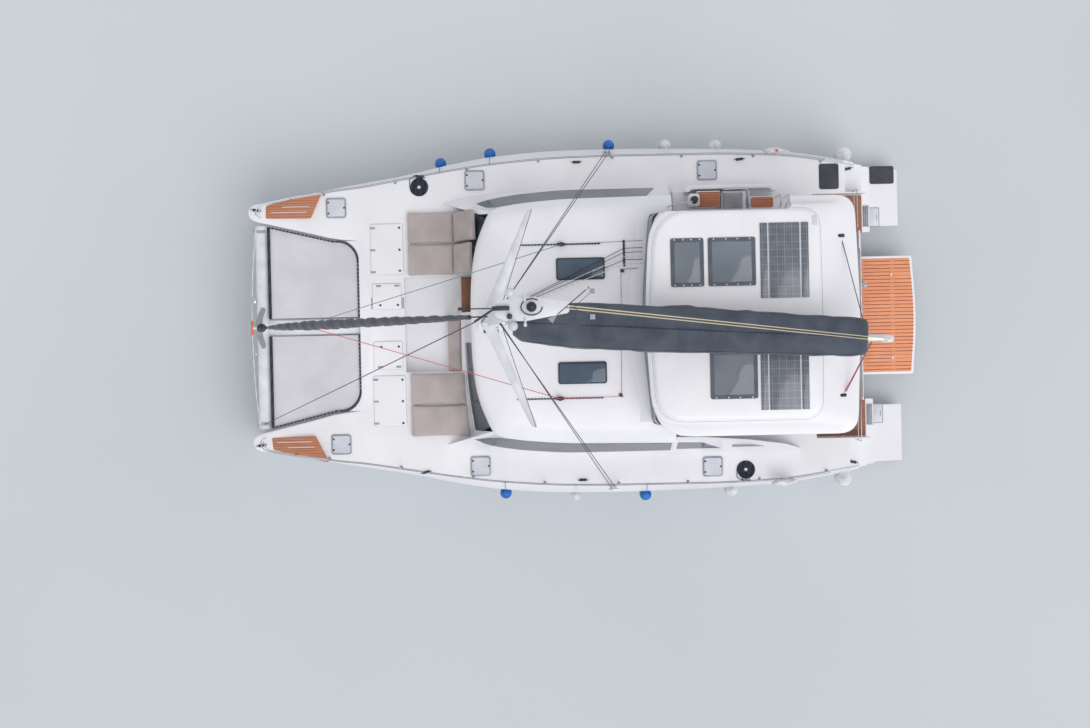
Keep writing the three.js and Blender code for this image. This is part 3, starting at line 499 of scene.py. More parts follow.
def block(bm, x0, x1, y0, y1, z0, z1, bevel=0.0, segments=3, material=0):
    """A box with rounded edges, added to a bmesh."""
    geometry = bmesh.ops.create_cube(bm, size=1)["verts"]
    bmesh.ops.scale(bm, verts=geometry, vec=(abs(x1 - x0), abs(y1 - y0), abs(z1 - z0)))
    bmesh.ops.translate(bm, verts=geometry, vec=((x0 + x1) / 2, (y0 + y1) / 2, (z0 + z1) / 2))
    faces = {f for v in geometry for f in v.link_faces}
    for face in faces:
        face.material_index = material
    if bevel:
        edges = {e for v in geometry for e in v.link_edges}
        bmesh.ops.bevel(bm, geom=list(edges), offset=bevel, segments=segments, profile=0.5,
                        affect="EDGES", material=-1)


def blocks(*rows, bm=None):
    """Boxes, each row with what block takes, in one bmesh."""
    bm = bm or bmesh.new()
    for row in rows:
        block(bm, *row)
    return bm


def plate(bm, outline, z0, z1, bevel=0.0, segments=2, material=0):
    """A flat outline raised from z0 to z1, its top edge rounded."""
    base = [bm.verts.new((p[0], p[1], z0)) for p in outline]
    face = bm.faces.new(base)
    face.material_index = material
    raised = bmesh.ops.extrude_face_region(bm, geom=[face])["geom"]
    top = [g for g in raised if isinstance(g, bmesh.types.BMVert)]
    bmesh.ops.translate(bm, verts=top, vec=(0, 0, z1 - z0))
    faces = {f for v in [*base, *top] for f in v.link_faces}
    bmesh.ops.recalc_face_normals(bm, faces=list(faces))
    if bevel:
        lid = [g for g in raised if isinstance(g, bmesh.types.BMFace)]
        edges = {e for f in lid for e in f.edges}
        bmesh.ops.bevel(bm, geom=list(edges), offset=bevel, segments=segments, profile=0.5,
                        affect="EDGES", material=-1)
    return bm


def round_bar(bm, a, b, radius, end_radius=None, sides=16):
    """A round bar between two points, added to a bmesh."""
    a, b = Vector(a), Vector(b)
    turn = (b - a).to_track_quat("Z", "Y").to_matrix().to_4x4()
    place = Matrix.Translation((a + b) / 2) @ turn
    bmesh.ops.create_cone(bm, cap_ends=True, segments=sides, radius1=radius,
                          radius2=radius if end_radius is None else end_radius,
                          depth=(b - a).length, matrix=place)


def cad_copy(node, name, materials, body, width, segments=2):
    """A CAD solid with its edges rounded, as a new piece that stands for it."""
    bm = bmesh.new()
    bm.from_mesh(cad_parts[node].data)
    for face in bm.faces:
        face.material_index = 0
    bmesh.ops.remove_doubles(bm, verts=bm.verts, dist=0.0001)
    bmesh.ops.dissolve_limit(bm, angle_limit=radians(1), verts=bm.verts, edges=bm.edges)
    piece = made(bm, name, materials, body, smooth=40)
    rounding = piece.modifiers.new("edges", "BEVEL")
    rounding.width = width
    rounding.segments = segments
    rounding.limit_method = "ANGLE"
    rounding.angle_limit = radians(30)
    rounding.use_clamp_overlap = True
    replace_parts(piece, node)
    return piece


def apply_modifiers(piece):
    graph = bpy.context.evaluated_depsgraph_get()
    mesh = bpy.data.meshes.new_from_object(piece.evaluated_get(graph))
    old = piece.data
    piece.modifiers.clear()
    piece.data = mesh
    mesh.name = piece.name
    bpy.data.meshes.remove(old)


def loose(bm, name):
    """A bmesh as an object that isn't a piece."""
    mesh = bpy.data.meshes.new(name)
    bm.to_mesh(mesh)
    bm.free()
    piece = bpy.data.objects.new(name, mesh)
    bpy.context.scene.collection.objects.link(piece)
    return piece


def cut(piece, bm, operation="DIFFERENCE"):
    """Cuts a bmesh's solids out of a piece, or joins or intersects it with them."""
    tool = loose(bm, "tool")
    change = piece.modifiers.new("cut", "BOOLEAN")
    change.operation, change.solver, change.object = operation, "EXACT", tool
    bpy.context.view_layer.update()
    apply_modifiers(piece)
    mesh = tool.data
    bpy.data.objects.remove(tool)
    bpy.data.meshes.remove(mesh)
    piece.data.set_sharp_from_angle(angle=radians(35))


# Hulls. Each row, port side: x, deck inner and outer edge, deck height, knuckle y and z, bilge outer y and z,
# keel line outer and inner y and its z, bilge inner y, chine y and z.
DECK = 1.9
HULL_ROWS = (
    (7.375, 2.500, 2.620, 1.970, 2.622, 1.930, 2.585, 0.700, 2.568, 2.552, 0.350, 2.540, 2.498, 1.500),
    (7.335, 2.430, 2.690, 1.980, 2.695, 1.920, 2.630, 0.250, 2.575, 2.545, -0.060, 2.500, 2.425, 1.450),
    (7.230, 2.372, 2.745, 1.980, 2.755, 1.900, 2.665, 0.060, 2.585, 2.535, -0.260, 2.465, 2.372, 1.400),
    (6.900, 2.290, 2.790, 1.960, 2.815, 1.860, 2.740, -0.020, 2.610, 2.520, -0.400, 2.400, 2.290, 1.350),
    (6.100, 2.100, 2.930, DECK, 2.965, 1.790, 2.880, -0.060, 2.700, 2.540, -0.520, 2.350, 2.110, 1.150),
    (5.400, 1.935, 3.040, DECK, 3.100, 1.760, 3.010, -0.090, 2.800, 2.590, -0.570, 2.330, 1.960, 1.000),
    (4.950, 1.900, 3.090, DECK, 3.180, 1.730, 3.090, -0.100, 2.860, 2.640, -0.600, 2.330, 1.900, 0.900),
    (3.900, 1.900, 3.260, DECK, 3.360, 1.640, 3.260, -0.120, 2.990, 2.710, -0.640, 2.330, 1.900, 0.850),
    (2.800, 1.900, 3.440, DECK, 3.610, 1.540, 3.470, -0.140, 3.090, 2.770, -0.640, 2.330, 1.900, 0.820),
    (1.800, 1.900, 3.570, DECK, 3.770, 1.480, 3.600, -0.150, 3.150, 2.800, -0.640, 2.330, 1.900, 0.820),
    (0.300, 1.900, 3.670, DECK, 3.870, 1.430, 3.690, -0.150, 3.190, 2.820, -0.640, 2.330, 1.900, 0.820),
    (-1.000, 1.900, 3.690, DECK, 3.880, 1.420, 3.700, -0.150, 3.190, 2.820, -0.640, 2.330, 1.900, 0.820),
    (-2.700, 1.900, 3.690, DECK, 3.845, 1.420, 3.680, -0.130, 3.160, 2.800, -0.600, 2.330, 1.900, 0.800),
    (-4.300, 1.900, 3.640, DECK, 3.775, 1.430, 3.620, -0.100, 3.120, 2.790, -0.480, 2.330, 1.900, 0.800),
    (-5.800, 1.900, 3.440, DECK, 3.560, 1.460, 3.500, -0.040, 3.080, 2.780, -0.280, 2.320, 1.900, 0.800),
    (-6.500, 1.900, 3.310, DECK, 3.400, 1.500, 3.400, 0.020, 3.050, 2.780, -0.140, 2.310, 1.900, 0.750),
    (-7.375, 1.960, 3.190, DECK, 3.360, 1.500, 3.350, 0.100, 3.000, 2.800, 0.030, 2.250, 1.980, 0.600),
)
hull_row = track(HULL_ROWS)
# Stern steps. Each row: aft of x, from y, to y, tread height.
STERN_STEPS = (
    (-6.65, 1.80, 3.60, 0.45),
    (-6.42, 1.80, 3.60, 0.88),
    (-6.18, 2.76, 3.60, 1.24),
    (-5.94, 2.76, 3.60, 1.57),
    (-5.20, 1.80, 2.73, 1.30),
)
# Deck hatches, port side. Each row: name, centre x, centre y.
DECK_HATCHES = (("bow", 5.43, 2.64), ("mid", 2.33, 3.19), ("aft", -2.86, 3.31))
HATCH = 0.45


def hull_corners(x):
    (deck_in, deck_out, deck, knuckle, knuckle_z, bilge_out, bilge_z,
     keel_out, keel_in, keel_z, bilge_in, chine, chine_z) = hull_row(x)
    return [(deck_in, deck), (deck_out, deck), (knuckle, knuckle_z), (bilge_out, bilge_z),
            (keel_out, keel_z), (keel_in, keel_z), (bilge_in, bilge_z), (chine, chine_z)]


def topside(x, z):
    """How far outboard the hull's side is, at a height between the bilge and the knuckle."""
    (y1, z1), (y0, z0) = hull_corners(x)[2:4]
    return y0 + (y1 - y0) * (z - z0) / (z1 - z0)


def rail_y(x):
    return hull_row(x)[1]


def make_hull(name, side):
    places = [7.375, 7.36, 7.335, 7.29, 7.23, 7.12, 7.0, 6.8, 6.5, 6.2, 5.9, 5.6, 5.3, 5.1, 4.95]
    places += [4.95 - 0.42 * k for k in range(1, 30)] + [-7.375]
    rings = []
    for x in places:
        open_side = x > 4.96
        reach = [0.05 if open_side else 0.0005, 0.03, 0.07, 0.35, 0.12, 0.12, 0.3, 0.3 if open_side else 0.04]
        rings.append([(x, side * y, z) for y, z in filleted(hull_corners(x), reach)])
    piece = made(loft(rings), f"{name}_hull_shell", [hull_white, deck_white])
    for x, y0, y1, tread in STERN_STEPS:
        cut(piece, blocks((-7.6, x, side * y0, side * y1, tread, 2.3)))
    half = HATCH / 2 - 0.03
    cut(piece, blocks(*[(x - half, x + half, side * (y - half), side * (y + half), DECK - 0.08, 2.1)
                        for _, x, y in DECK_HATCHES]))
    for face in piece.data.polygons:
        if face.normal.z > 0.95 and face.center.z > 0.4:
            face.material_index = 1
    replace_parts(piece, f"{name}_hull")


for name, side in SIDES:
    make_hull(name, side)

# More ways to make pieces
def moved(at, turn, axis="Z"):
    """The matrix of a turn about an axis, then a move."""
    return Matrix.Translation(at) @ Matrix.Rotation(turn, 4, axis)


def join(bm, other, place=None):
    """Moves another bmesh's geometry into this one."""
    mesh = bpy.data.meshes.new("joined")
    other.to_mesh(mesh)
    other.free()
    if place is not None:
        mesh.transform(place if isinstance(place, Matrix) else Matrix.Translation(place))
    bm.from_mesh(mesh)
    bpy.data.meshes.remove(mesh)
    return bm


def turned(bm, profile, place, sides=24):
    """A round solid from radius and height pairs that start and end on its axis."""
    other = bmesh.new()
    line = [other.verts.new((r, 0, z)) for r, z in profile]
    edges = [other.edges.new(pair) for pair in zip(line, line[1:])]
    bmesh.ops.spin(other, geom=line + edges, cent=(0, 0, 0), axis=(0, 0, 1), angle=2 * pi,
                   steps=sides, use_merge=True)
    bmesh.ops.remove_doubles(other, verts=other.verts, dist=0.00005)
    bmesh.ops.recalc_face_normals(other, faces=other.faces)
    return join(bm, other, place)


def prism(outline, y0, y1):
    """A solid from an x, z outline, between two y values."""
    return loft([[(x, y, z) for x, z in outline] for y in (y0, y1)])


def eased(corners, inset=0.0, steps=6):
    """An outline through corners of x, y and rounding, moved inwards and then rounded."""
    line = shrunk([c[:2] for c in corners], inset)
    reaches = [max(c[2] - inset * 0.4, 0.002) for c in corners]
    return [(p.x, p.y) for p in filleted([(x, y, 0) for x, y in line], reaches, steps)]


def corners(x0, x1, y0, y1, reach):
    return [(x0, y0, reach), (x0, y1, reach), (x1, y1, reach), (x1, y0, reach)]


def rounded(x0, x1, y0, y1, reach, inset=0.0):
    """A rectangle's outline with rounded corners."""
    return eased(corners(x0, x1, y0, y1, reach), inset)


def shrunk(outline, distance):
    """An outline with every point moved inwards."""
    count = len(outline)
    area = sum(outline[i - 1][0] * outline[i][1] - outline[i][0] * outline[i - 1][1] for i in range(count))
    turn = 1 if area > 0 else -1
    out = []
    for i, (x, y) in enumerate(outline):
        before, after = Vector(outline[i - 1]), Vector(outline[(i + 1) % count])
        here = Vector((x, y))
        a, b = (here - before).normalized(), (after - here).normalized()
        middle = Vector((-a.y - b.y, a.x + b.x)).normalized()
        reach = turn * distance / max(middle.dot(Vector((-a.y, a.x))), 0.3)
        out.append((x + middle.x * reach, y + middle.y * reach))
    return out


def flat(outline, z):
    return [(x, y, z) for x, y in outline]


def lifted(line, z):
    return [Vector((p[0], p[1], z)) for p in line]


# Bow: teak steps, mooring cleats and the deck's fittings
# Teak outlines, corner by corner, for each side as they lie
BOW_TEAK = {
    "port": ((6.97, 2.46), (6.00, 2.44), (5.72, 3.02), (5.86, 3.00), (6.94, 2.72)),
    "starboard": ((6.99, -2.43), (6.00, -2.42), (5.73, -3.01), (5.90, -2.98), (6.86, -2.75), (6.99, -2.70)),
}
# Slots in the teak, drawn as flush pale strips for steel inserts whose pale colour is a painted highlight: each row
# is x from, x to, distance out from the centreline
TEAK_SLOTS = ((6.08, 6.87, 2.56), (6.02, 6.62, 2.68))


def bow_steps():
    for name, side in SIDES:
        made(plate(bmesh.new(), filleted(BOW_TEAK[name], 0.03, 3), 1.88, 1.985, 0.012), f"{name}_bow_teak", step_teak)
        # Pale strips in the teak's slots: painted highlight
        made(blocks(*[(x0, x1, side * y - 0.009, side * y + 0.009, 1.97, 1.989, 0.003, 1)
                      for x0, x1, y in TEAK_SLOTS]), f"{name}_bow_slots", hatch_frost, slot="stainless_steel")


def cleat(bm, x, y, z, turn):
    """A mooring cleat with two horns."""
    other = bmesh.new()
    length = 0.26
    horn = [(share * length, 0, up)
            for share, up in ((-0.5, 0.052), (-0.3, 0.046), (0, 0.044), (0.3, 0.046), (0.5, 0.052))]
    rings = []
    for px, _, pz in smooth_line(horn, 4):
        r = 0.014 * (1.1 - 1.2 * abs(px / length))
        rings.append([(px, r * cos(a), pz + r * sin(a)) for a in angles(8)])
    loft(rings, bm=other)
    for side in (1, -1):
        round_bar(other, (side * 0.045, 0, 0), (side * 0.04, 0, 0.045), 0.012, sides=10)
    block(other, -0.08, 0.08, -0.03, 0.03, 0, 0.008, 0.003, 1)
    join(bm, other, moved((x, y, z), turn))


# Cleats: each row is x, distance out from the centreline, deck height, turn in degrees
CLEATS = ((7.20, 2.62, 1.975, 8), (3.55, 3.30, 1.902, 12), (-3.59, 3.54, 1.902, -6), (-6.05, 3.30, 1.572, -12),
          (0.05, 3.55, 1.902, 0))


def cleats():
    for name, side in SIDES:
        bm = bmesh.new()
        for x, y, z, turn in CLEATS:
            cleat(bm, x, side * y, z, radians(side * turn + 180))
        made(bm, f"{name}_cleats", fitting_black, smooth=50)


def toe_rails():
    """A low grey moulding along each deck's outer edge."""
    for name, side in SIDES:
        rings = []
        for k in range(80):
            x = 7.0 - k * (7.0 + 6.15) / 79
            y, z = rail_y(x) - 0.02, hull_row(x)[2]
            rings.append([(x, side * (y - 0.014), z - 0.004), (x, side * (y - 0.010), z + 0.016),
                          (x, side * (y + 0.010), z + 0.016), (x, side * (y + 0.014), z - 0.004)])
        made(loft(rings), f"{name}_toe_rail", toe_grey, slot="anodised_aluminium")


# Crossbeam
BEAM_X, BEAM_Z, BEAM_HALF = 7.13, 1.72, 2.285


def crossbeam():
    def section(y, rx, rz):
        return [(BEAM_X + rx * cos(a), y, BEAM_Z + rz * sin(a)) for a in angles(32)]
    rows = [(-BEAM_HALF, 0.11, 0.065), (-BEAM_HALF + 0.03, 0.142, 0.088), (-BEAM_HALF + 0.10, 0.145, 0.09)]
    rings = [section(*row) for row in rows] + [section(-y, rx, rz) for y, rx, rz in reversed(rows)]
    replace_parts(made(loft(rings), "beam", beam_grey), "crossbeam")
    bm = blocks((4.952, 7.0, -0.178, 0.178, 1.652, 1.768, 0.03))
    round_bar(bm, (7.0, 0, BEAM_Z), (7.375, 0, BEAM_Z + 0.06), 0.045, 0.035, 20)
    made(bm, "longeron", beam_grey)
    bm = bmesh.new()
    for side in (1, -1):
        leg = [(7.10, side * 0.42, 1.80), (7.14, side * 0.20, 1.98), (7.14, side * 0.03, 2.145)]
        for a, b in zip(leg, leg[1:]):
            round_bar(bm, a, b, 0.028, sides=14)
        # The brace from the beam to the sprit's tip, a flat plate on edge
        loft([[(x + dx, side * y, z) for dx, z in ((-0.04, 1.800), (0.04, 1.800), (0.04, 1.812), (-0.04, 1.812))]
              for x, y in ((7.13, 0.46), (7.29, 0.05))], bm=bm)
        block(bm, 7.04, 7.22, side * 2.15 - 0.03, side * 2.15 + 0.03, 1.79, 1.83, 0.008, 2)
        block(bm, 7.26, 7.32, side * 2.18 - 0.02, side * 2.18 + 0.02, 1.70, 1.80, 0.006, 2)
    made(bm, "beam_braces", fitting_grey, slot="stainless_steel")
    bm = blocks((7.28, 7.37, -0.68, -0.56, 1.79, 1.83, 0.01, 2))
    turned(bm, [(0, -0.05), (0.03, -0.05), (0.018, 0), (0.03, 0.05), (0, 0.05)],
           moved((7.31, 0.62, 1.80), pi / 2, "X"), 16)
    made(bm, "beam_fittings", stainless)
    roller = [(0, -0.16), (0.026, -0.16), (0.03, -0.1), (0.018, 0), (0.03, 0.1), (0.026, 0.16), (0, 0.16)]
    made(turned(bmesh.new(), roller, moved((7.375, 0, 1.80), pi / 2, "X"), 20), "bow_roller", roller_orange,
         slot="anodised_aluminium")
    ring = [(7.44 + 0.05 * cos(a), 0, 1.80 + 0.05 * sin(a)) for a in angles(16)]
    tubes("bow_ring", [ring], 0.009, stainless, closed=True)
    bridle = smooth_line([(7.25, -2.25, 1.80), (7.35, -1.2, 1.74), (7.38, -0.15, 1.78)], 8)
    tubes("bridle", [bridle, [(x, -y, z) for x, y, z in bridle]], 0.009, rope_white, slot="acrylic_canvas")


# Trampoline nets
NET_Z = 1.836
NET_CORNER = (5.44, 1.435, 0.445)
NET_FLAT, NET_STEP = (1.94, 2.02), 0.07


def net_outline(grow=0.0):
    cx, cy, r = NET_CORNER
    r += grow
    turns = [radians(90 + 90 * k / 10) for k in range(11)]
    return [(6.93 + grow, 0.205 - grow), (6.93 + grow, 2.225 + grow), (5.52, 1.878 + grow),
            *[(cx + r * cos(a), cy + r * sin(a)) for a in turns[1:]],
            (4.995 - grow, 0.205 - grow)]


def nets():
    for name, side in SIDES:
        bm = bmesh.new()
        bm.faces.new([bm.verts.new((x, side * y, NET_Z)) for x, y in net_outline()])
        for normal, low, high in (((1, 0, 0), 5.0, 6.93), ((0, side, 0), 0.2, 2.23)):
            step = low + NET_STEP
            while step < high:
                bmesh.ops.bisect_plane(bm, geom=bm.verts[:] + bm.edges[:] + bm.faces[:],
                                       plane_co=Vector(normal) * step, plane_no=[abs(n) for n in normal])
                step += NET_STEP
        long, wide = NET_FLAT
        for v in bm.verts:
            u, w = (v.co.x - 4.99) / long, (abs(v.co.y) - 0.2) / wide
            v.co.z -= 0.02 * sin(pi * min(max(u, 0), 1)) * sin(pi * min(max(w, 0), 1))
        bmesh.ops.recalc_face_normals(bm, faces=bm.faces)
        area = sum(f.calc_area() for f in bm.faces)
        net = made(bm, f"{name}_trampoline", net_white, smooth=180)
        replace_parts(net, f"{name}_net")
        rope_line = [Vector((x, side * y, 1.862)) for x, y in net_outline(0.012)[1:]]
        lashing = [Vector((6.955, side * y, 1.862)) for y in (0.19, 2.24)]
        stitches = laced(rope_line, 0.05, 0.085)
        stitches += laced([p + Vector((-0.045, 0, 0.01)) for p in lashing], 0.022, 0.085)
        tubes(f"{name}_net_rope", [rope_line], 0.017, rope_black, slot="netting")
        tubes(f"{name}_net_lashing", [lashing], 0.034, rope_black, slot="netting")
        tubes(f"{name}_net_lacing", stitches, 0.0045, rope_white, slot="netting", resolution=1)


def laced(line, width, pitch):
    """Short stitches across a line, one each pitch."""
    out = []
    for a, b in zip(line, line[1:]):
        run = b - a
        across = Vector((-run.y, run.x, 0)).normalized() * width
        for k in range(int(run.length / pitch)):
            at = a + run * ((k + 0.5) * pitch / run.length)
            out.append([at - across + Vector((0, 0, -0.012)), at + Vector((0, 0, 0.02)),
                        at + across + Vector((0, 0, -0.012))])
    return out


# Furled headsail, wound on its stay
MAST_X, MAST_FOOT, MAST_TOP, RAKE, HOUNDS = 2.0, 3.42, 21.5, 0.033, 17.0
STAY_FOOT = Vector((BEAM_X, 0, 2.175))


def mast_x(z):
    return MAST_X - (z - MAST_FOOT) * RAKE


STAY_HEAD = Vector((mast_x(HOUNDS) + 0.196, 0, HOUNDS))
# Each row: share of the stay's length, radius
FURL = track(((0.045, 0.02), (0.06, 0.045), (0.1, 0.055), (0.2, 0.082), (0.35, 0.088), (0.6, 0.075), (0.8, 0.058),
              (0.92, 0.042), (0.945, 0.02)))


def headsail():
    run = STAY_HEAD - STAY_FOOT
    turn = run.to_track_quat("Z", "X").to_matrix()
    chance = random.Random(4)
    swell = [chance.uniform(-1, 1) for _ in range(60)]
    rings = []
    steps = 170
    for k in range(steps + 1):
        share = 0.045 + 0.9 * k / steps
        radius = FURL(share)[0]
        bump = swell[int(share * 55)] * (1 - (share * 55) % 1) + swell[int(share * 55) + 1] * ((share * 55) % 1)
        ring = []
        for angle in angles(20):
            twist = angle - share * 2 * pi * 21
            r = radius * (1 + 0.10 * sin(twist) + 0.05 * sin(2 * twist + 1) + 0.12 * bump)
            ring.append(STAY_FOOT + run * share + turn @ Vector((r * cos(angle), r * sin(angle), 0)))
        rings.append(ring)
    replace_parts(made(loft(rings), "rolled_headsail", sail_cover, smooth=60), "furled_headsail")
    tubes("forestay", [[STAY_FOOT, STAY_HEAD]], 0.012, wire_steel)
    place = Matrix.Translation(STAY_FOOT) @ turn.to_4x4()
    bm = turned(bmesh.new(), [(0, 0), (0.09, 0), (0.095, 0.012), (0.05, 0.02), (0.05, 0.09), (0.095, 0.10),
                              (0.09, 0.11), (0.03, 0.12), (0.028, 0.42), (0.04, 0.44), (0.04, 0.50), (0, 0.51)],
                place, 28)
    turned(bm, [(0, 14.75), (0.035, 14.75), (0.035, 14.95), (0, 14.96)], place, 16)
    made(bm, "furling_drum", fitting_black)


# Foredeck: hatches and locker lids, each riding on its own body
def dotted(bm, spots, z, radius, height=0.012):
    for x, y in spots:
        turned(bm, [(0, 0), (radius, 0), (radius, height * 0.6), (radius * 0.7, height), (0, height)],
               (x, y, z), 12)
    return bm


def deck_hatches():
    half = HATCH / 2
    for name, side in SIDES:
        for place, x, y in DECK_HATCHES:
            node, y = f"{name}_{place}_hatch", side * y
            bm = plate(bmesh.new(), rounded(x - half, x + half, y - half, y + half, 0.07),
                       DECK + 0.001, DECK + 0.028, 0.008)
            inner = half - 0.035
            plate(bm, rounded(x - inner, x + inner, y - inner, y + inner, 0.05),
                  DECK + 0.020, DECK + 0.034, 0.004, 1, 1)
            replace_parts(made(bm, f"{node}_frame", [fitting_grey, hatch_frost], node, "acrylic_lid"), node)
            spots = [(x + 0.17, y - 0.12), (x + 0.17, y + 0.12), (x - 0.18, y)]
            made(dotted(bmesh.new(), spots, DECK + 0.033, 0.022), f"{node}_hinges", fitting_black, node)


# Locker lids: each row is node, aft x, bow x, y from, y to, hinge spots, latch spots
HINGE_X, LATCH_X = 4.63, 4.035
LOCKERS = (
    ("port", 3.96, 4.68, 1.13, 2.26, [(HINGE_X, y) for y in (1.21, 1.70, 2.19)],
     [(LATCH_X, y) for y in (1.22, 1.70, 2.19)]),
    ("starboard", 3.96, 4.68, -2.26, -1.13, [(HINGE_X, y) for y in (-2.17, -1.68, -1.19)],
     [(LATCH_X, y) for y in (-2.17, -1.68, -1.21)]),
    ("centre_port", 4.02, 4.66, 0.36, 0.98, [(4.11, 0.93), (4.52, 0.93)], [(4.10, 0.48), (4.49, 0.48)]),
    ("centre_starboard", 4.02, 4.66, -0.93, -0.36, [(4.11, -0.88), (4.52, -0.88)], [(4.10, -0.45), (4.49, -0.45)]),
)


def locker_lids():
    for name, x0, x1, y0, y1, hinges, latches in LOCKERS:
        body = f"{name}_locker_lid"
        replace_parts(made(plate(bmesh.new(), rounded(x0, x1, y0, y1, 0.05), DECK + 0.001, DECK + 0.029, 0.010, 3),
                         f"{name}_lid", deck_white, body), body)
        made(blocks(*[(x - 0.055, x + 0.055, y - 0.022, y + 0.022, DECK + 0.028, DECK + 0.036, 0.006, 2)
                      for x, y in hinges]), f"{name}_lid_hinges", fitting_grey, body, "stainless_steel")
        made(dotted(bmesh.new(), latches, DECK + 0.028, 0.026), f"{name}_lid_latches", fitting_black, body)
        seam = lifted(rounded(x0, x1, y0, y1, 0.05, -0.004), DECK + 0.001)
        tubes(f"{name}_lid_seam", [seam], 0.003, toe_grey, closed=True, resolution=1)


def well_dressing():
    """Teak on the forward door's sill, a plate on the well's sole, and a grey strip in the gutter beside the lockers
    as painted shade.
    """
    made(blocks((2.405, 2.695, -1.055, -0.255, 1.50, 1.522, 0.006, 2)), "door_sill_teak", sole_teak)
    made(blocks((3.06, 3.93, -1.05, 1.05, 1.50, 1.506, 0.002, 1)), "well_sole_mat", deck_white)
    # Grey strip in the gutter beside the lockers: painted shade
    made(blocks((3.96, 4.70, -0.62, -0.37, 1.899, 1.9022, 0.001, 1)), "locker_gutter", groove_shade_grey, slot="gelcoat")


bow_steps()
cleats()
toe_rails()
crossbeam()
nets()
headsail()
deck_hatches()
locker_lids()
well_dressing()


# Coachroof. Each row, port side from the front centre: foot x and y at deck height, head x and y, corner rounding.
ROOF_ROWS = (
    (2.66, 0.00, 2.42, 0.00, 0.40),
    (2.64, 0.90, 2.40, 0.90, 0.40),
    (2.58, 1.70, 2.30, 1.65, 0.38),
    (2.47, 2.50, 2.05, 2.25, 0.07),
    (3.08, 2.70, 1.96, 2.40, 0.05),
    (2.30, 2.86, 1.75, 2.50, 0.30),
    (1.40, 2.94, 1.20, 2.58, 0.40),
    (0.50, 3.00, 0.40, 2.64, 0.40),
    (-0.30, 3.00, -0.32, 2.653, 0.001),
    (-1.10, 3.00, -1.12, 2.666, 0.001),
    (-1.96, 3.00, -1.96, 2.68, 0.0005),
)
ROOF_AFT, HEAD_Z, WALL = -1.96, 2.90, 0.06
# How far out the coachroof's hatches are
HATCH_Y = 1.1225
# Roof above the walls. Each row: z, inset at the front, inset at the sides.
ROOF_TIERS = ((2.95, 0, 0), (2.98, -0.03, -0.02), (3.06, -0.03, -0.01), (3.14, -0.01, 0.07), (3.22, 0.02, 0.16),
              (3.28, 0.09, 0.24), (3.33, 0.25, 0.42), (3.36, 0.55, 0.80), (3.38, 0.95, 1.20))
SIDE_WINDOW = ((2.45, 2.42), (1.87, 2.78), (1.43, 2.84), (0.0, 2.86), (-1.45, 2.80), (-1.66, 2.16), (0.23, 2.16),
               (1.44, 2.20), (2.20, 2.33))
PORT_WINDOW = (*SIDE_WINDOW[:4], (-1.90, 2.80), (-1.90, 2.20), *SIDE_WINDOW[6:])
# Front windows: y from and to
FRONT_WINDOWS = (("port", 0.42, 2.38), ("starboard", -2.38, -1.19))


def roof_outline(share, front=0.0, side=0.0, inner=False):
    half = [(fx + (hx - fx) * share, fy + (hy - fy) * share, reach) for fx, fy, hx, hy, reach in ROOF_ROWS]
    if inner:
        del half[4]
    points = half + [(x, -y, r) for x, y, r in reversed(half[1:])]
    squeeze, narrow = 1 - front / (2.42 - ROOF_AFT), 1 - side / 2.68
    points = [(ROOF_AFT + (x - ROOF_AFT) * squeeze, y * narrow, r) for x, y, r in points]
    return eased(points, WALL if inner else 0.0, 4)


def wall_line(share):
    """The front wall's line in plan, from starboard to port."""
    half = [(fx + (hx - fx) * share, fy + (hy - fy) * share) for fx, fy, hx, hy, _ in ROOF_ROWS[:4]]
    line = [(x, -y, 0) for x, y in reversed(half[1:])] + [(x, y, 0) for x, y in half]
    return bent(line, 0.35)


def side_line(share):
    rows = [(fx + (hx - fx) * share, fy + (hy - fy) * share, 0) for fx, fy, hx, hy, _ in ROOF_ROWS[4:]]
    return bent(rows, 0.3)


def ribbon(foot, head, outer, inner, side=1, bm=None):
    """A wall between a foot line and a head line, from one distance off them to another."""
    rings = []
    for i, (low, high) in enumerate(zip(foot, head)):
        along = foot[min(i + 1, len(foot) - 1)] - foot[max(i - 1, 0)]
        off = Vector((along.y, -along.x, 0)).normalized()
        ring = [low + off * outer, high + off * outer, high + off * inner, low + off * inner]
        rings.append([(p.x, side * p.y, p.z) for p in ring])
    return loft(rings, bm=bm)


def coachroof():
    rings = [flat(roof_outline(0), DECK + 0.001), flat(roof_outline(1), HEAD_Z)]
    rings += [flat(roof_outline(1, front, side), z) for z, front, side in ROOF_TIERS]
    roof = made(loft(rings), "coachroof_moulding", roof_white)
    inner = [flat(roof_outline(-0.1, inner=True), DECK - 0.1), flat(roof_outline(1, inner=True), HEAD_Z)]
    inner += [flat(roof_outline(1, front, side, True), z - WALL) for z, front, side in ROOF_TIERS[2:]]
    cut(roof, loft(inner))
    through = shrunk([(1.55, 2.80), (0, 2.86), (-1.45, 2.80), (-1.66, 2.20), (1.55, 2.26)], 0.03)
    for side in (1, -1):
        cut(roof, prism(through, side * 2.2, side * 3.3))
    # Front windows, forward door, saloon door, aft windows and roof hatches
    openings = [(2.0, 2.95, y0, y1, 2.02, HEAD_Z - 0.02) for _, y0, y1 in FRONT_WINDOWS]
    openings += [(2.2, 2.9, -1.08, -0.25, 1.4, 2.95), (-2.1, -1.85, -0.24, 0.70, 1.4, 2.97),
                 (-2.1, -1.85, 0.80, 2.30, 2.10, 2.90), (-2.1, -1.85, -2.30, -0.50, 2.10, 2.90)]
    openings += [(-0.45, 0.54, side * HATCH_Y - 0.205, side * HATCH_Y + 0.205, 3.2, 3.6) for side in (1, -1)]
    cut(roof, blocks(*[(*box, 0.04) for box in openings]))
    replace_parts(roof, "coachroof")


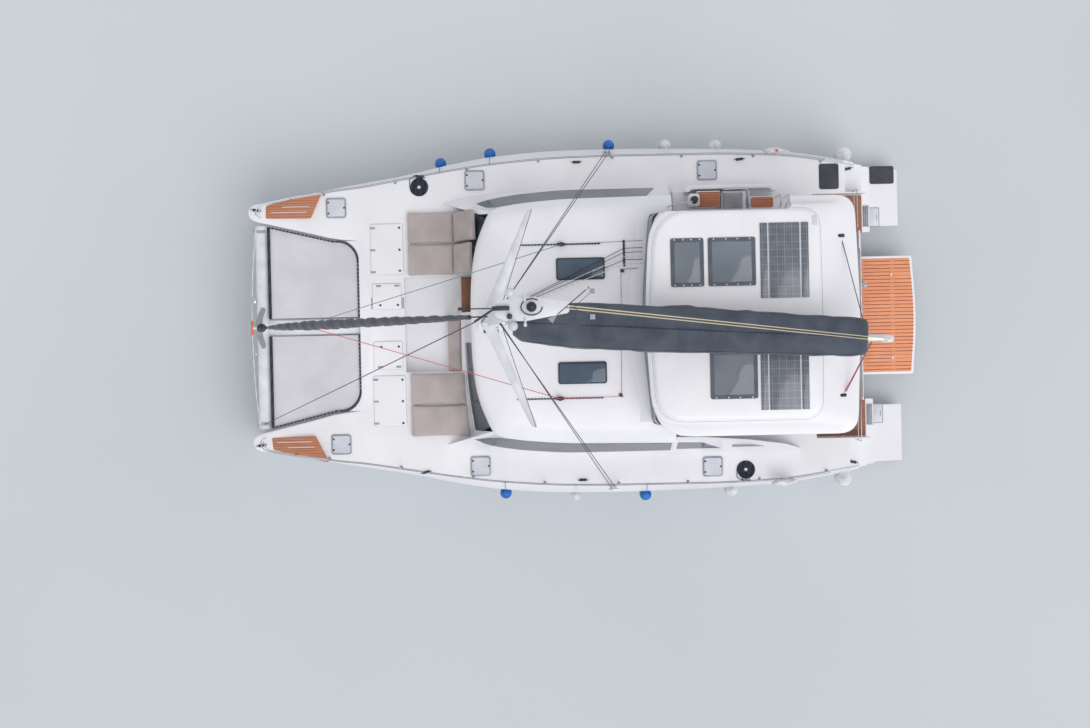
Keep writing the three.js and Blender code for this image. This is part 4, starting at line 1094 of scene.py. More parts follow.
def saloon_glass():
    for name, side in SIDES:
        pane = made(ribbon(lifted(side_line(0), DECK), lifted(side_line(1), HEAD_Z), 0.010, -0.026, side),
                    f"{name}_side_glass", side_glass)
        window = shrunk(PORT_WINDOW if side > 0 else SIDE_WINDOW, 0.004)
        cut(pane, prism(window, side * 2.2, side * 3.3), "INTERSECT")
        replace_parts(pane, f"side_window_{name}")
    # The starboard front pane is cut on the port side, then mirrored
    for name, y0, y1 in FRONT_WINDOWS:
        pane = made(ribbon(lifted(wall_line(0), DECK), lifted(wall_line(1), HEAD_Z), -0.010, -0.028),
                    f"{name}_front_glass", front_glass)
        low, high = sorted((abs(y0), abs(y1)))
        cut(pane, blocks((1.9, 3.0, low + 0.003, high - 0.003, 2.023, HEAD_Z - 0.023, 0.037)), "INTERSECT")
        if y1 < 0:
            for v in pane.data.vertices:
                v.co.y = -v.co.y
            pane.data.flip_normals()
        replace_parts(pane, f"front_window_{name}")
    made(blocks(*[(-1.935, -1.905, y0 + 0.002, y1 - 0.002, 2.102, 2.898, 0.004, 1)
                  for y0, y1 in ((0.80, 2.30), (-2.30, -0.50))]), "aft_saloon_glass", front_glass)


def roof_hatches():
    for name, side in SIDES:
        y, body = side * HATCH_Y, f"{name}_roof_hatch"
        outline = corners(-0.48, 0.57, y - 0.2375, y + 0.2375, 0.06)
        made(surround(outline, 0.028, 3.3815, 3.412, 0.005), f"{body}_frame", fitting_black, body)
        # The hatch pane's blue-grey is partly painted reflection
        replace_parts(made(plate(bmesh.new(), eased(outline, 0.025), 3.390, 3.409, 0.003),
                         f"{body}_pane", roof_tint_and_reflection, body), body)
        spots = [(0.545, y - 0.14), (0.545, y + 0.14), (-0.455, y - 0.12), (-0.455, y + 0.12)]
        made(dotted(bmesh.new(), spots, 3.411, 0.014), f"{body}_pins", fitting_black, body, slot="")


def tiers(corners, *rows):
    """Rings of one outline, each row with its inset and its height."""
    return [flat(eased(corners, inset), z) for inset, z in rows]


def surround(corners, width, z0, z1, bevel=0.003):
    """A flat frame, its outer edge through corners of x, y and rounding."""
    bm = loft(tiers(corners, (0, z0), (0, z1 - bevel), (bevel, z1), (width - bevel, z1), (width, z1 - bevel),
                    (width, z0), (0, z0)), caps=False)
    bmesh.ops.remove_doubles(bm, verts=bm.verts, dist=0.0001)
    bmesh.ops.recalc_face_normals(bm, faces=bm.faces)
    return bm


# Hardtop: a sloping rim with a raised tray on it
def bowed(aft, aft_bow, front, front_bow, y0, y1, reach):
    """Corners of a deck outline whose front and aft edges bow out."""
    return [(aft, y0, reach), (aft - aft_bow, 0, 0.8), (aft, y1, reach), (front, y1, reach),
            (front + front_bow, 0, 0.8), (front, y0, reach)]


RIM = bowed(-5.79, 0.10, -1.46, 0.12, -2.56, 2.52, 0.42)
TRAY = bowed(-4.99, 0.03, -1.50, 0.13, -2.27, 2.18, 0.42)
TRAY[3] = (*TRAY[3][:2], 0.62)
TRAY[5] = (*TRAY[5][:2], 0.80)
RIM[3] = (*RIM[3][:2], 0.80)
RIM[5] = (*RIM[5][:2], 0.95)
HARDTOP_TOP = 4.40
# Skylights: each row is name, aft x, bow x, y from, y to
SKYLIGHTS = (
    ("starboard_front_skylight", -2.53, -1.83, -1.68, -0.66),
    ("starboard_aft_skylight", -3.62, -2.62, -1.68, -0.66),
    ("port_skylight", -3.62, -2.62, 0.70, 1.72),
)


def hardtop():
    top = made(loft(tiers(RIM, (0.05, 3.852), (0.008, 3.862), (0, 3.88), (0, 3.985), (0.012, 4.010), (0.06, 4.030),
                          (0.16, 4.10)) + tiers(TRAY, (-0.10, 4.27), (-0.03, 4.33), (0, 4.34))),
               "hardtop_moulding", roof_white)
    cut(top, blocks((-4.42, -0.9, -3.2, -2.262, 3.5, 4.6, 0.12, 4)))
    cut(top, loft(tiers(TRAY, (0.002, 3.90), (0.002, 4.31), (0.010, 4.345), (0.03, 4.372), (0.06, 4.39),
                        (0.11, HARDTOP_TOP - 0.001))), "UNION")
    cut(top, loft(tiers(TRAY, (0.16, 3.7), (0.16, 4.20), (0.24, 4.31))))
    cut(top, blocks(*[(x0 + 0.04, x1 - 0.04, y0 + 0.04, y1 - 0.04, 4.2, 4.6, 0.04)
                      for _, x0, x1, y0, y1 in SKYLIGHTS]))
    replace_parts(top, "hardtop")
    made(blocks(*[(-1.90, -1.62, side * 1.90, side * 2.06, 3.382, 4.33, 0.04) for side in (1, -1)]),
         "hardtop_legs", roof_white)
    # Grey line along the tray's groove: painted shade
    tubes("tray_groove", [lifted(eased(TRAY, -0.012), 4.336)], 0.005, groove_shade_grey, closed=True, resolution=1)


def skylights():
    for name, x0, x1, y0, y1 in SKYLIGHTS:
        outline = corners(x0, x1, y0, y1, 0.05)
        made(surround(outline, 0.085, HARDTOP_TOP + 0.0015, HARDTOP_TOP + 0.028, 0.005),
             f"{name}_frame", frame_grey, name)
        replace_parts(made(plate(bmesh.new(), eased(outline, 0.080), HARDTOP_TOP + 0.008, HARDTOP_TOP + 0.024, 0.003),
                         f"{name}_pane", clear_glass, name), name)
        spots = [(x0 + (x1 - x0) * k, y) for y in (y0 + 0.03, y1 - 0.03) for k in (0.12, 0.38, 0.62, 0.88)]
        made(dotted(bmesh.new(), spots, HARDTOP_TOP + 0.0275, 0.016, 0.006),
             f"{name}_studs", hatch_frost, name, slot="")


# Solar strips: each row is aft x, bow x for the starboard panel
SOLAR_STRIPS = ((-4.74, -4.585), (-4.555, -3.905), (-3.875, -3.72))


def solar_panels():
    for name, side in SIDES:
        shift = 0.035 if side > 0 else 0
        y0, y1 = sorted((side * 0.39, side * 1.97))
        strips = blocks(*[(x0 + shift, x1 + shift, y0, y1, HARDTOP_TOP + 0.001, HARDTOP_TOP + 0.020, 0.004, 2)
                          for x0, x1 in SOLAR_STRIPS])
        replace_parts(made(strips, f"{name}_solar_strips", cell_blue), f"{name}_solar_panel")


def windscreen():
    plan = [(-2.02, 2.30, 0), (-1.50, 2.26, 0), (-1.27, 0, 0), (-1.50, -2.26, 0), (-2.02, -2.30, 0)]
    line = list(reversed(bent(plan, [0.1, 0.16, 1.0, 0.16, 0.1], 8)))
    foot, head = lifted([p + Vector((0.07, 0, 0)) for p in line], 3.33), lifted(line, 3.875)
    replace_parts(made(ribbon(foot, head, 0.0, -0.012), "windscreen_pane", front_glass), "windscreen")
    tubes("windscreen_seal", [lifted(foot, 3.385)], 0.010, rubber, slot="gelcoat")
    loop = [(-1.87, -2.40, 3.10), (-1.87, -2.43, 3.42), (-2.41, -2.52, 3.42), (-2.41, -2.52, 3.05)]
    tubes("screen_handrail", [bent(loop, 0.10, 4)], 0.013, stainless)


coachroof()
saloon_glass()
roof_hatches()
hardtop()
skylights()
solar_panels()
windscreen()


# Mast.
# Half chord and half width of the mast
MAST_SECTION, MAST_TIP = (0.18, 0.10), (0.12, 0.075)
SPREADER_Z, SPREADER_TIP = 12.0, (1.05, 1.86)


def mast():
    rings = []
    for z in [MAST_FOOT + 0.9 * k for k in range(16)] + [17.8, MAST_TOP]:
        chord, wide = MAST_TIP if z == MAST_TOP else MAST_SECTION
        rings.append([(mast_x(z) + chord * (1 if cos(a) > 0 else 0.92) * cos(a), wide * sin(a), z)
                      for a in angles(28)])
    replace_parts(made(loft(rings), "mast_tube", spar_white, smooth=40), "mast")
    track_line = [Vector((mast_x(z) - aft, 0, z)) for z, aft in ((5.4, 0.172), (17.8, 0.172), (21.2, 0.12))]
    made(loft([[p + Vector((dx, dy, 0)) for dx, dy in ((0, -0.02), (0, 0.02), (-0.022, 0.014), (-0.022, -0.014))]
               for p in track_line]), "mast_track", fitting_grey)
    bm = bmesh.new()
    root = mast_x(SPREADER_Z)
    for side in (1, -1):
        # Swept spreader blades, chord 0.23 m at the mast and 0.07 m at the tip
        rings = []
        for share, chord, thick in ((0, 0.23, 0.07), (0.1, 0.21, 0.05), (0.95, 0.11, 0.035), (1, 0.07, 0.02)):
            x = root + 0.14 + (SPREADER_TIP[0] - root - 0.10) * share
            y = 0.06 + (SPREADER_TIP[1] - 0.06) * share
            rings.append([(x + chord / 2 * cos(a), side * y, SPREADER_Z + 0.03 + thick / 2 * sin(a))
                          for a in angles(12)])
        loft(rings, bm=bm)
        block(bm, root - 0.12, root + 0.12, side * 0.085, side * 0.13, SPREADER_Z - 0.06, SPREADER_Z + 0.11, 0.015, 2)
    made(bm, "spreaders", spar_white, smooth=50)
    # Collar, halyard exits and folding steps low on the mast
    made(blocks((1.73, 2.27, -0.19, 0.19, 3.375, 3.42, 0.02)), "mast_step", roof_white)
    bm = bmesh.new()
    foot = mast_x(3.5)
    ring = [(foot + 0.20 * cos(a), 0.125 * sin(a), 3.45) for a in angles(24)]
    tubes("mast_collar", [ring], 0.02, fitting_grey, closed=True)
    for side in (1, -1):
        for k in range(3):
            x, y = foot - 0.13 + 0.13 * k, side * 0.19
            turned(bm, [(0, 0), (0.035, 0), (0.035, 0.03), (0, 0.03)], (x, y, 3.43), 12)
            round_bar(bm, (x, y, 3.38), (x, y, 3.43), 0.012)
        for k in range(10):
            z = 5.6 + k * 0.45
            block(bm, mast_x(z) - 0.05, mast_x(z) + 0.03, side * 0.10, side * 0.115, z, z + 0.012, 0.003, 1)
    made(bm, "mast_fittings", fitting_black)


# Masthead plate outline, x and y
CRANE = ((1.53, -0.14), (1.54, 0.05), (1.39, 0.11), (1.15, 0.11), (0.63, 0.02), (0.63, -0.12), (0.95, -0.17),
         (1.14, -0.19))


def masthead():
    z = 21.52
    bm = bmesh.new()
    outline = eased([(x, y, 0.04) for x, y in CRANE], 0, 4)
    plate(bm, outline, z - 0.017, z, 0.006)
    for y in (-0.05, 0.02):
        rings = [[(x, y - 0.008, 21.36 - drop), (x, y + 0.008, 21.36 - drop), (x, y + 0.008, z - 0.01),
                  (x, y - 0.008, z - 0.01)] for x, drop in ((0.66, -0.06), (1.35, 0.0))]
        loft(rings, bm=bm)
    made(bm, "masthead_crane", spar_white)
    bm = bmesh.new()
    for x, y in ((1.35, -0.24), (1.32, 0.17)):
        turned(bm, [(0, 0), (0.06, 0), (0.06, 0.03), (0.045, 0.055), (0.02, 0.068), (0, 0.07)],
               (x, y, z + 0.02), 20)
        round_bar(bm, (x, y, z - 0.01), (x, y * 0.6, z - 0.01), 0.012)
        round_bar(bm, (x, y, z - 0.015), (x, y, z + 0.02), 0.015)
    for x, y in ((1.17, 0.16), (1.17, -0.25)):
        round_bar(bm, (x, y * 0.5, z + 0.01), (x, y, z + 0.01), 0.016)
        round_bar(bm, (x, y, z + 0.002), (x, y, z + 0.05), 0.022)
    made(bm, "masthead_domes", hatch_frost)
    bm = bmesh.new()
    block(bm, 1.36, 1.57, -0.078, -0.022, z, z + 0.05, 0.006, 2)
    turned(bm, [(0, 0), (0.03, 0.005), (0.035, 0.035), (0.02, 0.06), (0, 0.065)],
           (1.36, 0.05, z), 16)
    turned(bm, [(0, 0), (0.06, 0), (0.062, 0.02), (0.05, 0.03), (0.05, 0.05), (0.03, 0.07), (0.012, 0.08),
                (0.008, 0.30), (0, 0.302)], (1.09, -0.06, z), 24)
    round_bar(bm, (1.57, -0.03, z + 0.04), (1.79, 0.11, z + 0.06), 0.014)
    round_bar(bm, (1.57, -0.05, z + 0.03), (1.94, -0.05, z + 0.16), 0.008)
    block(bm, 1.92, 1.98, -0.07, -0.03, z + 0.15, z + 0.20, 0.01, 2)
    # Wind vane: a spindle, an arrow with its tail, and two tabs on arms
    round_bar(bm, (0.66, -0.04, z), (0.59, -0.03, 21.88), 0.006)
    round_bar(bm, (0.43, -0.25, 21.9), (0.78, 0.04, 21.9), 0.006)
    round_bar(bm, (0.59, -0.03, 21.9), (0.36, -0.23, 21.9), 0.003)
    round_bar(bm, (0.59, -0.03, 21.9), (0.36, 0.08, 21.9), 0.003)
    made(bm, "masthead_instruments", fitting_black)
    bm = bmesh.new()
    plate(bm, [(0.78, 0.04), (0.84, 0.15), (0.90, 0.09)], 21.895, 21.905)
    plate(bm, [(0.43, -0.25), (0.385, -0.262), (0.40, -0.30)], 21.895, 21.905)
    for y in (-0.23, 0.08):
        block(bm, 0.33, 0.39, y - 0.03, y + 0.03, 21.895, 21.905)
    made(bm, "wind_vane", fitting_grey)
    loop = [(1.09 + 0.13 * cos(a), -0.06 + 0.10 * sin(a), z + 0.012 + 0.01 * sin(2 * a))
            for a in [pi * k / 10 - 2.2 for k in range(18)]]
    tubes("masthead_cable", [loop], 0.007, rope_black)


# Standing rigging. Each row: foot x, distance out, foot z and height on the mast.
SHROUDS = ((-0.62, 3.80, 1.64, 17.0), (-0.70, 3.79, 1.66, 16.1))


def standing_rigging():
    for name, side in SIDES:
        runs = []
        bm = blocks((-0.78, -0.54, side * 3.775, side * 3.80, 1.50, 1.70, 0.008, 2))
        for x, y, z, top in SHROUDS:
            foot, head = Vector((x, side * y, z + 0.02)), Vector((mast_x(top), side * 0.10, top))
            along = (head - foot).normalized()
            runs.append([foot + along * 0.1, head])
            # Turnbuckle: fork, body and stud
            round_bar(bm, foot, foot + along * 0.16, 0.013)
            round_bar(bm, foot + along * 0.14, foot + along * 0.42, 0.020)
            round_bar(bm, foot + along * 0.40, foot + along * 0.62, 0.013, 0.010)
        made(bm, f"{name}_turnbuckles", stainless)
        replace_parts(tubes(f"{name}_shroud_wires", runs, 0.008, wire_steel), f"{name}_shrouds")
        tip = Vector((SPREADER_TIP[0] + 0.02, side * SPREADER_TIP[1], SPREADER_Z + 0.03))
        low, high = Vector((mast_x(4.7), side * 0.10, 4.7)), Vector((mast_x(17.4), side * 0.10, 17.4))
        tubes(f"{name}_diamond_stay", [[low, tip], [tip, high]], 0.005, wire_steel)


# Boom and its bag, in the boom's own frame: x runs aft from the pivot
BOOM_PIVOT, BOOM_TURN = Vector((1.7, 0, 5.0)), radians(-3.7)
ON_BOOM = moved(BOOM_PIVOT, BOOM_TURN) @ Matrix.Scale(-1, 4, (1, 0, 0))


def on_boom(distance, y, z):
    return ON_BOOM @ Vector((distance, y, z))


def boom_loft(rings):
    return loft([[on_boom(*p) for p in ring] for ring in rings])


def boom():
    section = [(0.08, -0.10), (0.08, 0.13), (0.03, 0.16), (-0.03, 0.16), (-0.08, 0.13), (-0.08, -0.10),
               (-0.045, -0.17), (0.045, -0.17)]
    shape = filleted(section, 0.03, 3)
    rings = [[(d, y * f, z * f) for y, z in shape] for d, f in ((0.172, 0.9), (0.19, 1), (7.86, 1), (7.88, 0.97))]
    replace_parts(made(boom_loft(rings), "boom_tube", anodised, "boom"), "boom")
    rings = [[(d, y * f, z * f - 0.01) for y, z in shape]
             for d, f in ((7.86, 1.05), (7.9, 1.07), (8.04, 1.0), (8.09, 0.75))]
    made(boom_loft(rings), "boom_end", spar_white, "boom")
    bm = bmesh.new()
    for d in (7.62, 7.74):
        turned(bm, [(0, -0.02), (0.05, -0.02), (0.05, 0.02), (0, 0.02)], moved(on_boom(d, 0, -0.23), pi / 2, "X"), 20)
        round_bar(bm, on_boom(d, 0, -0.16), on_boom(d, 0, -0.23), 0.012)
        round_bar(bm, on_boom(d, 0, -0.275), on_boom(d, 0, -0.32), 0.007)
    made(bm, "boom_blocks", fitting_black, "boom")


# Bag over the lowered mainsail. Each row: distance aft, half width, height of the top.
BAG_ROWS = track(((0.20, 0.27, 0.36), (0.42, 0.40, 0.52), (1.4, 0.46, 0.62), (2.8, 0.485, 0.62), (4.0, 0.475, 0.56),
                  (5.6, 0.43, 0.48), (7.2, 0.39, 0.40), (7.47, 0.375, 0.37), (7.52, 0.34, 0.33)))
# Shape of one section, as shares of the half width and the height, from the boom up to the seam
BAG_SHAPE = ((0.20, -0.02), (0.52, 0.03), (0.86, 0.16), (0.99, 0.34), (1.0, 0.48), (0.93, 0.66), (0.74, 0.84),
             (0.45, 0.95), (0.16, 0.99), (0.05, 1.01))


def wrinkle(chance, count):
    """A smooth random wave through count values."""
    values = [chance.uniform(-1, 1) for _ in range(count + 2)]

    def at(t):
        k = int(t)
        f = (t - k) * (t - k) * (3 - 2 * (t - k))
        return values[k] * (1 - f) + values[k + 1] * f
    return at


def bag_point(d, share_y, share_z, waves):
    half, high = BAG_ROWS(d)[:2]
    side = 1 if share_y > 0 else -1
    sag, fold, crease = waves[side]
    low = 1 - abs(share_z - 0.3)
    pulled = 0.035 * sin(pi * ((d / 1.55) % 1)) * share_z
    out = share_y * half * (1 + 0.05 * sag(d * 1.3) * low) + side * 0.022 * fold(d * 5) * max(0.0, 1 - share_z * 1.2)
    up = share_z * high * (1 + 0.04 * crease(d * 2.1)) - pulled
    ridge = 0.012 * sin(9 * d + 7 * share_z + 3 * side) * max(0.0, 0.7 - share_z)
    return d, out + side * ridge, up + 0.012 * fold(d * 3 + 4)


def sail_bag():
    chance = random.Random(11)
    waves = {side: (wrinkle(chance, 20), wrinkle(chance, 60), wrinkle(chance, 30)) for side in (1, -1)}
    profile = smooth_line([(a, b, 0) for a, b in BAG_SHAPE], 2)
    shape = [(p.x, p.y) for p in profile] + [(-p.x, p.y) for p in reversed(profile)]
    stations = [0.20 + 7.32 * k / 150 for k in range(151)]
    rings = [[bag_point(d, a, b, waves) for a, b in shape] for d in stations]
    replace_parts(made(boom_loft(rings), "boom_bag", bag_canvas, "boom", "acrylic_canvas", smooth=60), "sail_bag")
    seam = [on_boom(d, 0.0, BAG_ROWS(d)[1] * 1.015 - 0.035 * sin(pi * ((d / 1.55) % 1)))
            for d in stations[2:-3]]
    tubes("bag_zip", [seam], 0.010, rope_black, "boom", "acrylic_canvas", resolution=1)
    for side in (1, -1):
        edge = [on_boom(*bag_point(d, side * 0.93, 0.66, waves)) + Vector((0, 0, 0.004)) for d in stations[6:-4]]
        tubes(f"bag_batten_{SIDE_NAME[side]}", [edge], 0.012, bag_canvas, "boom", resolution=1)


def gooseneck():
    cad_copy("gooseneck", "gooseneck_toggle", [stainless], "gooseneck", 0.006)
    # Lugs and pin on the mast, and the boom's fork
    bm = blocks(*[(1.675, mast_x(5) - 0.16, -0.04, 0.04, z, z + 0.016, 0.004, 2) for z in (4.918, 5.066)])
    round_bar(bm, (1.70, 0, 4.905), (1.70, 0, 5.095), 0.010)
    made(bm, "gooseneck_lugs", stainless)
    cheek = ((-0.012, -0.03), (0.02, -0.05), (0.20, -0.06), (0.20, 0.06), (0.02, 0.05), (-0.012, 0.03))
    bm = bmesh.new()
    for side in (1, -1):
        loft([[on_boom(d, side * y, z) for d, z in cheek] for y in (0.044, 0.055)], bm=bm)
    made(bm, "boom_fork", stainless, "boom")


def between(a, b, count=8):
    """Evenly spaced points from one end of a rope to the other."""
    return [a.lerp(b, k / count) for k in range(count + 1)]


def running_rigging():
    """Ropes that end on the boom come in two parts."""
    end = on_boom(8.02, 0.0, 0.14)
    head = Vector((0.64, -0.05, 21.46))
    for number, y in enumerate((-0.03, 0.03)):
        top, low = head + Vector((0.03 * number, y * 0.5, 0)), end + Vector((0.06 * number, y * 0.8 + 0.03, 0))
        middle = top.lerp(low, 0.6)
        upper = tubes(f"topping_lift_upper_{number + 1}", [between(top, middle)], 0.008, rope_cream, None,
                      resolution=1)
        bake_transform(upper)
        lower = tubes(f"topping_lift_lower_{number + 1}", [between(middle, low)], 0.008, rope_cream, None,
                      resolution=1)
        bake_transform(lower)
    # Mainsheet: from a block on each side of the hardtop to the blocks under the boom's end
    runs = ((Vector((-5.47, -1.68, 4.12)), on_boom(7.62, 0, -0.32), rope_black, "starboard"),
            (Vector((-5.45, 1.70, 4.12)), on_boom(7.74, 0, -0.32), rope_red, "port"),
            (Vector((-5.50, 1.66, 4.12)), on_boom(7.74, 0.012, -0.32), rope_purple, "port_second"))
    for foot, top, material, name in runs:
        middle = foot.lerp(top, 0.85)
        lower = tubes(f"mainsheet_{name}", [between(foot, middle)], 0.009, material, None)
        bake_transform(lower)
        upper = tubes(f"mainsheet_{name}_end", [between(middle, top, 6)], 0.009, material, None)
        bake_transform(upper)
    # Jib sheets from the clew on the rolled sail, and the long line to the port bow
    clew = Vector((5.72, 0, 6.05))
    for name, foot, material in (("starboard", (0.45, -1.65, 3.50), rope_green),
                                 ("port", (0.54, 1.67, 3.50), rope_red)):
        run = [p + Vector((0, 0, -0.10 * sin(pi * k / 12))) for k, p in enumerate(between(clew, Vector(foot), 12))]
        tubes(f"{name}_jib_sheet", [run], 0.008, material)
    tubes("spare_halyard", [[(7.13, 2.15, 1.83), (1.79, 0.11, 21.3)]], 0.007, rope_purple)


mast()
masthead()
standing_rigging()
boom()
sail_bag()
gooseneck()
running_rigging()


# Fittings and ropes on the coachroof
ROOF_Z = 3.372
# Jib tracks: side, bow end x, y, car x
JIB_TRACKS = ((-1, 1.39, 1.655, 0.45), (1, 1.48, 1.67, 0.54))
TRACK_AFT = -0.40
ORGANISER_X = -0.90
# Ropes led aft from the mast: where they pass the organiser, and what they are
LED_AFT = ((-1.20, rope_white), (-1.29, rope_black), (-1.36, rope_white), (-1.45, rope_purple), (-1.54, rope_black))


def deck_block(bm, x, y, z, radius, turn):
    """A turning block lying on its cheek: two cheeks and a sheave."""
    for low, high, r in ((0, 0.008, 1.0), (0.008, 0.030, 0.82), (0.030, 0.038, 1.0)):
        turned(bm, [(0, low), (radius * r, low), (radius * r, high), (0, high)], (x, y, z), 20)
    dx, dy = cos(turn) * radius * 1.5, sin(turn) * radius * 1.5
    round_bar(bm, (x, y, z + 0.018), (x + dx, y + dy, z + 0.018), 0.012)


def roof_gear():
    # Plinth in front of the windscreen
    line = bent([(-1.46, -2.22, 0), (-1.22, 0, 0), (-1.46, 2.22, 0)], 1.0, 10)
    shape = ((0.33, 3.22), (0.31, 3.375), (0.24, 3.40), (0.10, 3.435), (0.04, 3.445), (-0.03, 3.445), (-0.03, 3.22))
    rings = []
    for p in line:
        drop = 0.05 * (abs(p.y) / 2.2) ** 4
        rings.append([(p.x + dx, p.y, z - drop) for dx, z in shape])
    made(loft(rings), "windscreen_plinth", roof_white)
    for side, bow, y, car in JIB_TRACKS:
        name = SIDE_NAME[side]
        made(blocks((TRACK_AFT, bow, side * y - 0.014, side * y + 0.014, ROOF_Z - 0.01, ROOF_Z + 0.006, 0.002, 1)),
             f"{name}_jib_track", fitting_grey)
        bm = bmesh.new()
        k = 0
        while TRACK_AFT + 0.02 + k * 0.068 < bow - 0.05:
            x = TRACK_AFT + 0.02 + k * 0.068
            block(bm, x, x + 0.046, side * y - 0.017, side * y + 0.017, ROOF_Z, ROOF_Z + 0.014, 0.002, 1)
            k += 1
        y *= side
        block(bm, car - 0.09, car + 0.09, y - 0.032, y + 0.032, ROOF_Z + 0.008, ROOF_Z + 0.045, 0.008, 2)
        deck_block(bm, car, y, ROOF_Z + 0.075, 0.05, 0)
        made(bm, f"{name}_jib_car", fitting_black)
    bm = bmesh.new()
    block(bm, ORGANISER_X - 0.022, ORGANISER_X + 0.022, -1.72, -1.15, ROOF_Z, ROOF_Z + 0.035, 0.006, 2)
    for y, _ in LED_AFT:
        turned(bm, [(0, 0), (0.026, 0), (0.026, 0.045), (0, 0.045)], (ORGANISER_X, y, ROOF_Z), 14)
    deck_block(bm, -0.85, -1.06, ROOF_Z + 0.004, 0.04, 2.6)
    deck_block(bm, -0.77, 1.62, ROOF_Z + 0.002, 0.04, 2.4)
    made(bm, "rope_organiser", fitting_black)
    for number, (y, material) in enumerate(LED_AFT):
        start = Vector((1.90 - 0.02 * number, -0.17 - 0.012 * number, 3.475))
        turn = Vector((ORGANISER_X, y, ROOF_Z + 0.055))
        run = between(start, turn, 6) + [Vector((-1.30, y - 0.01, ROOF_Z + 0.078))]
        tubes(f"led_rope_{number + 1}", [run], 0.0065, material, resolution=2)
    red = [Vector((-0.83, -1.03, 3.405)), Vector((-0.79, 1.58, 3.405)), Vector((-0.74, 1.655, 3.405)),
           Vector((0.48, 1.67, 3.42))]
    tubes("jib_car_rope", [bent(red, 0.04, 3)], 0.005, rope_red, resolution=2)
    grey = [Vector((-0.88, -1.09, 3.405)), Vector((-1.30, -1.12, 3.42))]
    tubes("jib_car_tail", [grey, [(0.36, -1.655, 3.42), (-1.30, -1.70, 3.43)]], 0.005, rope_black, resolution=2)


def hardtop_fittings():
    bm = bmesh.new()
    for x, y in ((-5.47, -1.68), (-5.45, 1.70)):
        turned(bm, [(0, 0), (0.06, 0), (0.06, 0.015), (0.025, 0.03), (0.025, 0.07), (0, 0.07)], (x, y, 4.065), 20)
        block(bm, x - 0.075, x + 0.075, y - 0.035, y + 0.035, 4.10, 4.19, 0.025)
    made(bm, "mainsheet_blocks", fitting_black)
    made(blocks((-4.93, -4.82, -2.10, -1.90, 4.375, 4.405, 0.02)), "hardtop_vent", hatch_frost)


# Helm, starboard
WHEEL_AT, WHEEL_RADIUS = Vector((-2.56, -1.25, 2.93)), 0.39


def helm():
    cad_copy("helm_station", "helm_moulding", [roof_white], "boat", 0.025, 3)
    # Outer coaming, with its rounded ends
    coaming = made(surround(corners(-4.32, -2.30, -2.93, -2.20, 0.16), 0.09, 1.902, 2.58, 0.02),
                   "helm_coaming", roof_white)
    cut(coaming, blocks((-4.6, -2.0, -2.79, -2.0, 1.8, 3.0)))
    made(blocks((-3.08, -2.56, -2.80, -2.44, 2.10, 2.578, 0.02), (-4.25, -3.74, -2.66, -2.40, 2.10, 2.578, 0.02),
                (-2.62, -2.38, -2.74, -2.46, 2.10, 2.70, 0.05)), "helm_side_boxes", roof_white)
    bm = plate(bmesh.new(), rounded(-3.07, -2.57, -2.78, -2.45, 0.03), 2.576, 2.602, 0.006)
    plate(bm, rounded(-4.24, -3.75, -2.64, -2.41, 0.05), 2.576, 2.602, 0.006)
    made(bm, "helm_teak", step_teak)
    # Winches: drum with a skirt, a crown and a self-tailing ring
    bm = bmesh.new()
    for place in ((-2.50, -2.60, 2.70), (-2.32, -1.95, 2.62)):
        turned(bm, [(0, 0), (0.085, 0), (0.085, 0.02), (0.06, 0.04), (0.052, 0.10), (0.062, 0.13), (0.075, 0.14),
                    (0.075, 0.165), (0.03, 0.175), (0, 0.175)], place, 32)
    made(bm, "helm_winches", fitting_black, slot="stainless_steel", smooth=50)
    # Seat: moulded base, two cushions and the tube round its aft end
    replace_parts(made(blocks((-3.655, -3.105, -2.795, -0.855, 2.101, 2.49, 0.03),
                            (-3.655, -3.615, -2.345, -0.855, 2.45, 3.0, 0.015, 2)),
                     "helm_seat_base", roof_white), "helm_seat")
    tube = [(-3.12, -2.76, 2.55), (-3.12, -2.80, 2.84), (-3.62, -2.82, 2.84), (-3.68, -2.74, 2.84),
            (-3.68, -2.42, 2.84), (-3.66, -2.38, 2.50)]
    tubes("helm_seat_rail", [bent(tube, 0.07, 5)], 0.015, stainless)
    # Posts to lean on, aft of the step
    posts = [[(-4.36, -2.40, 1.95), (-4.36, -2.40, 3.0), (-4.36, -2.66, 3.0), (-4.36, -2.66, 1.95)],
             [(-4.47, -2.38, 1.95), (-4.47, -2.38, 2.95), (-4.55, -2.66, 2.95), (-4.55, -2.66, 1.95)]]
    tubes("helm_posts", [bent(run, 0.09, 5) for run in posts], 0.014, stainless)
    # Wheel
    rim = [WHEEL_AT + Vector((0, WHEEL_RADIUS * cos(a), WHEEL_RADIUS * sin(a))) for a in angles(48)]
    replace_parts(tubes("wheel_rim", [rim], 0.017, rubber, "helm_wheel", closed=True, resolution=4), "helm_wheel")
    bm = bmesh.new()
    for turn in angles(5):
        a = turn + 0.3
        round_bar(bm, WHEEL_AT, WHEEL_AT + Vector((0, 0.385 * cos(a), 0.385 * sin(a))), 0.011, 0.008, 12)
    turned(bm, [(0, -0.03), (0.05, -0.03), (0.06, 0), (0.05, 0.03), (0.03, 0.10), (0, 0.10)],
           moved(WHEEL_AT, pi / 2, "Y"), 24)
    made(bm, "wheel_spokes", stainless, "helm_wheel")
    # Instruments on the console: blank screens in a black panel, and two engine levers
    bm = blocks((-2.42, -2.10, -1.70, -0.80, 3.045, 3.065, 0.01, 2),
                (-2.30, -2.12, -1.62, -1.28, 3.06, 3.13, 0.015, 2),
                (-2.30, -2.12, -1.22, -0.92, 3.06, 3.13, 0.015, 2))
    for y in (-1.60, -1.53):
        round_bar(bm, (-2.40, y, 3.06), (-2.46, y, 3.20), 0.012)
        block(bm, -2.49, -2.43, y - 0.02, y + 0.02, 3.19, 3.24, 0.012, 2)
    made(bm, "helm_instruments", fitting_black)


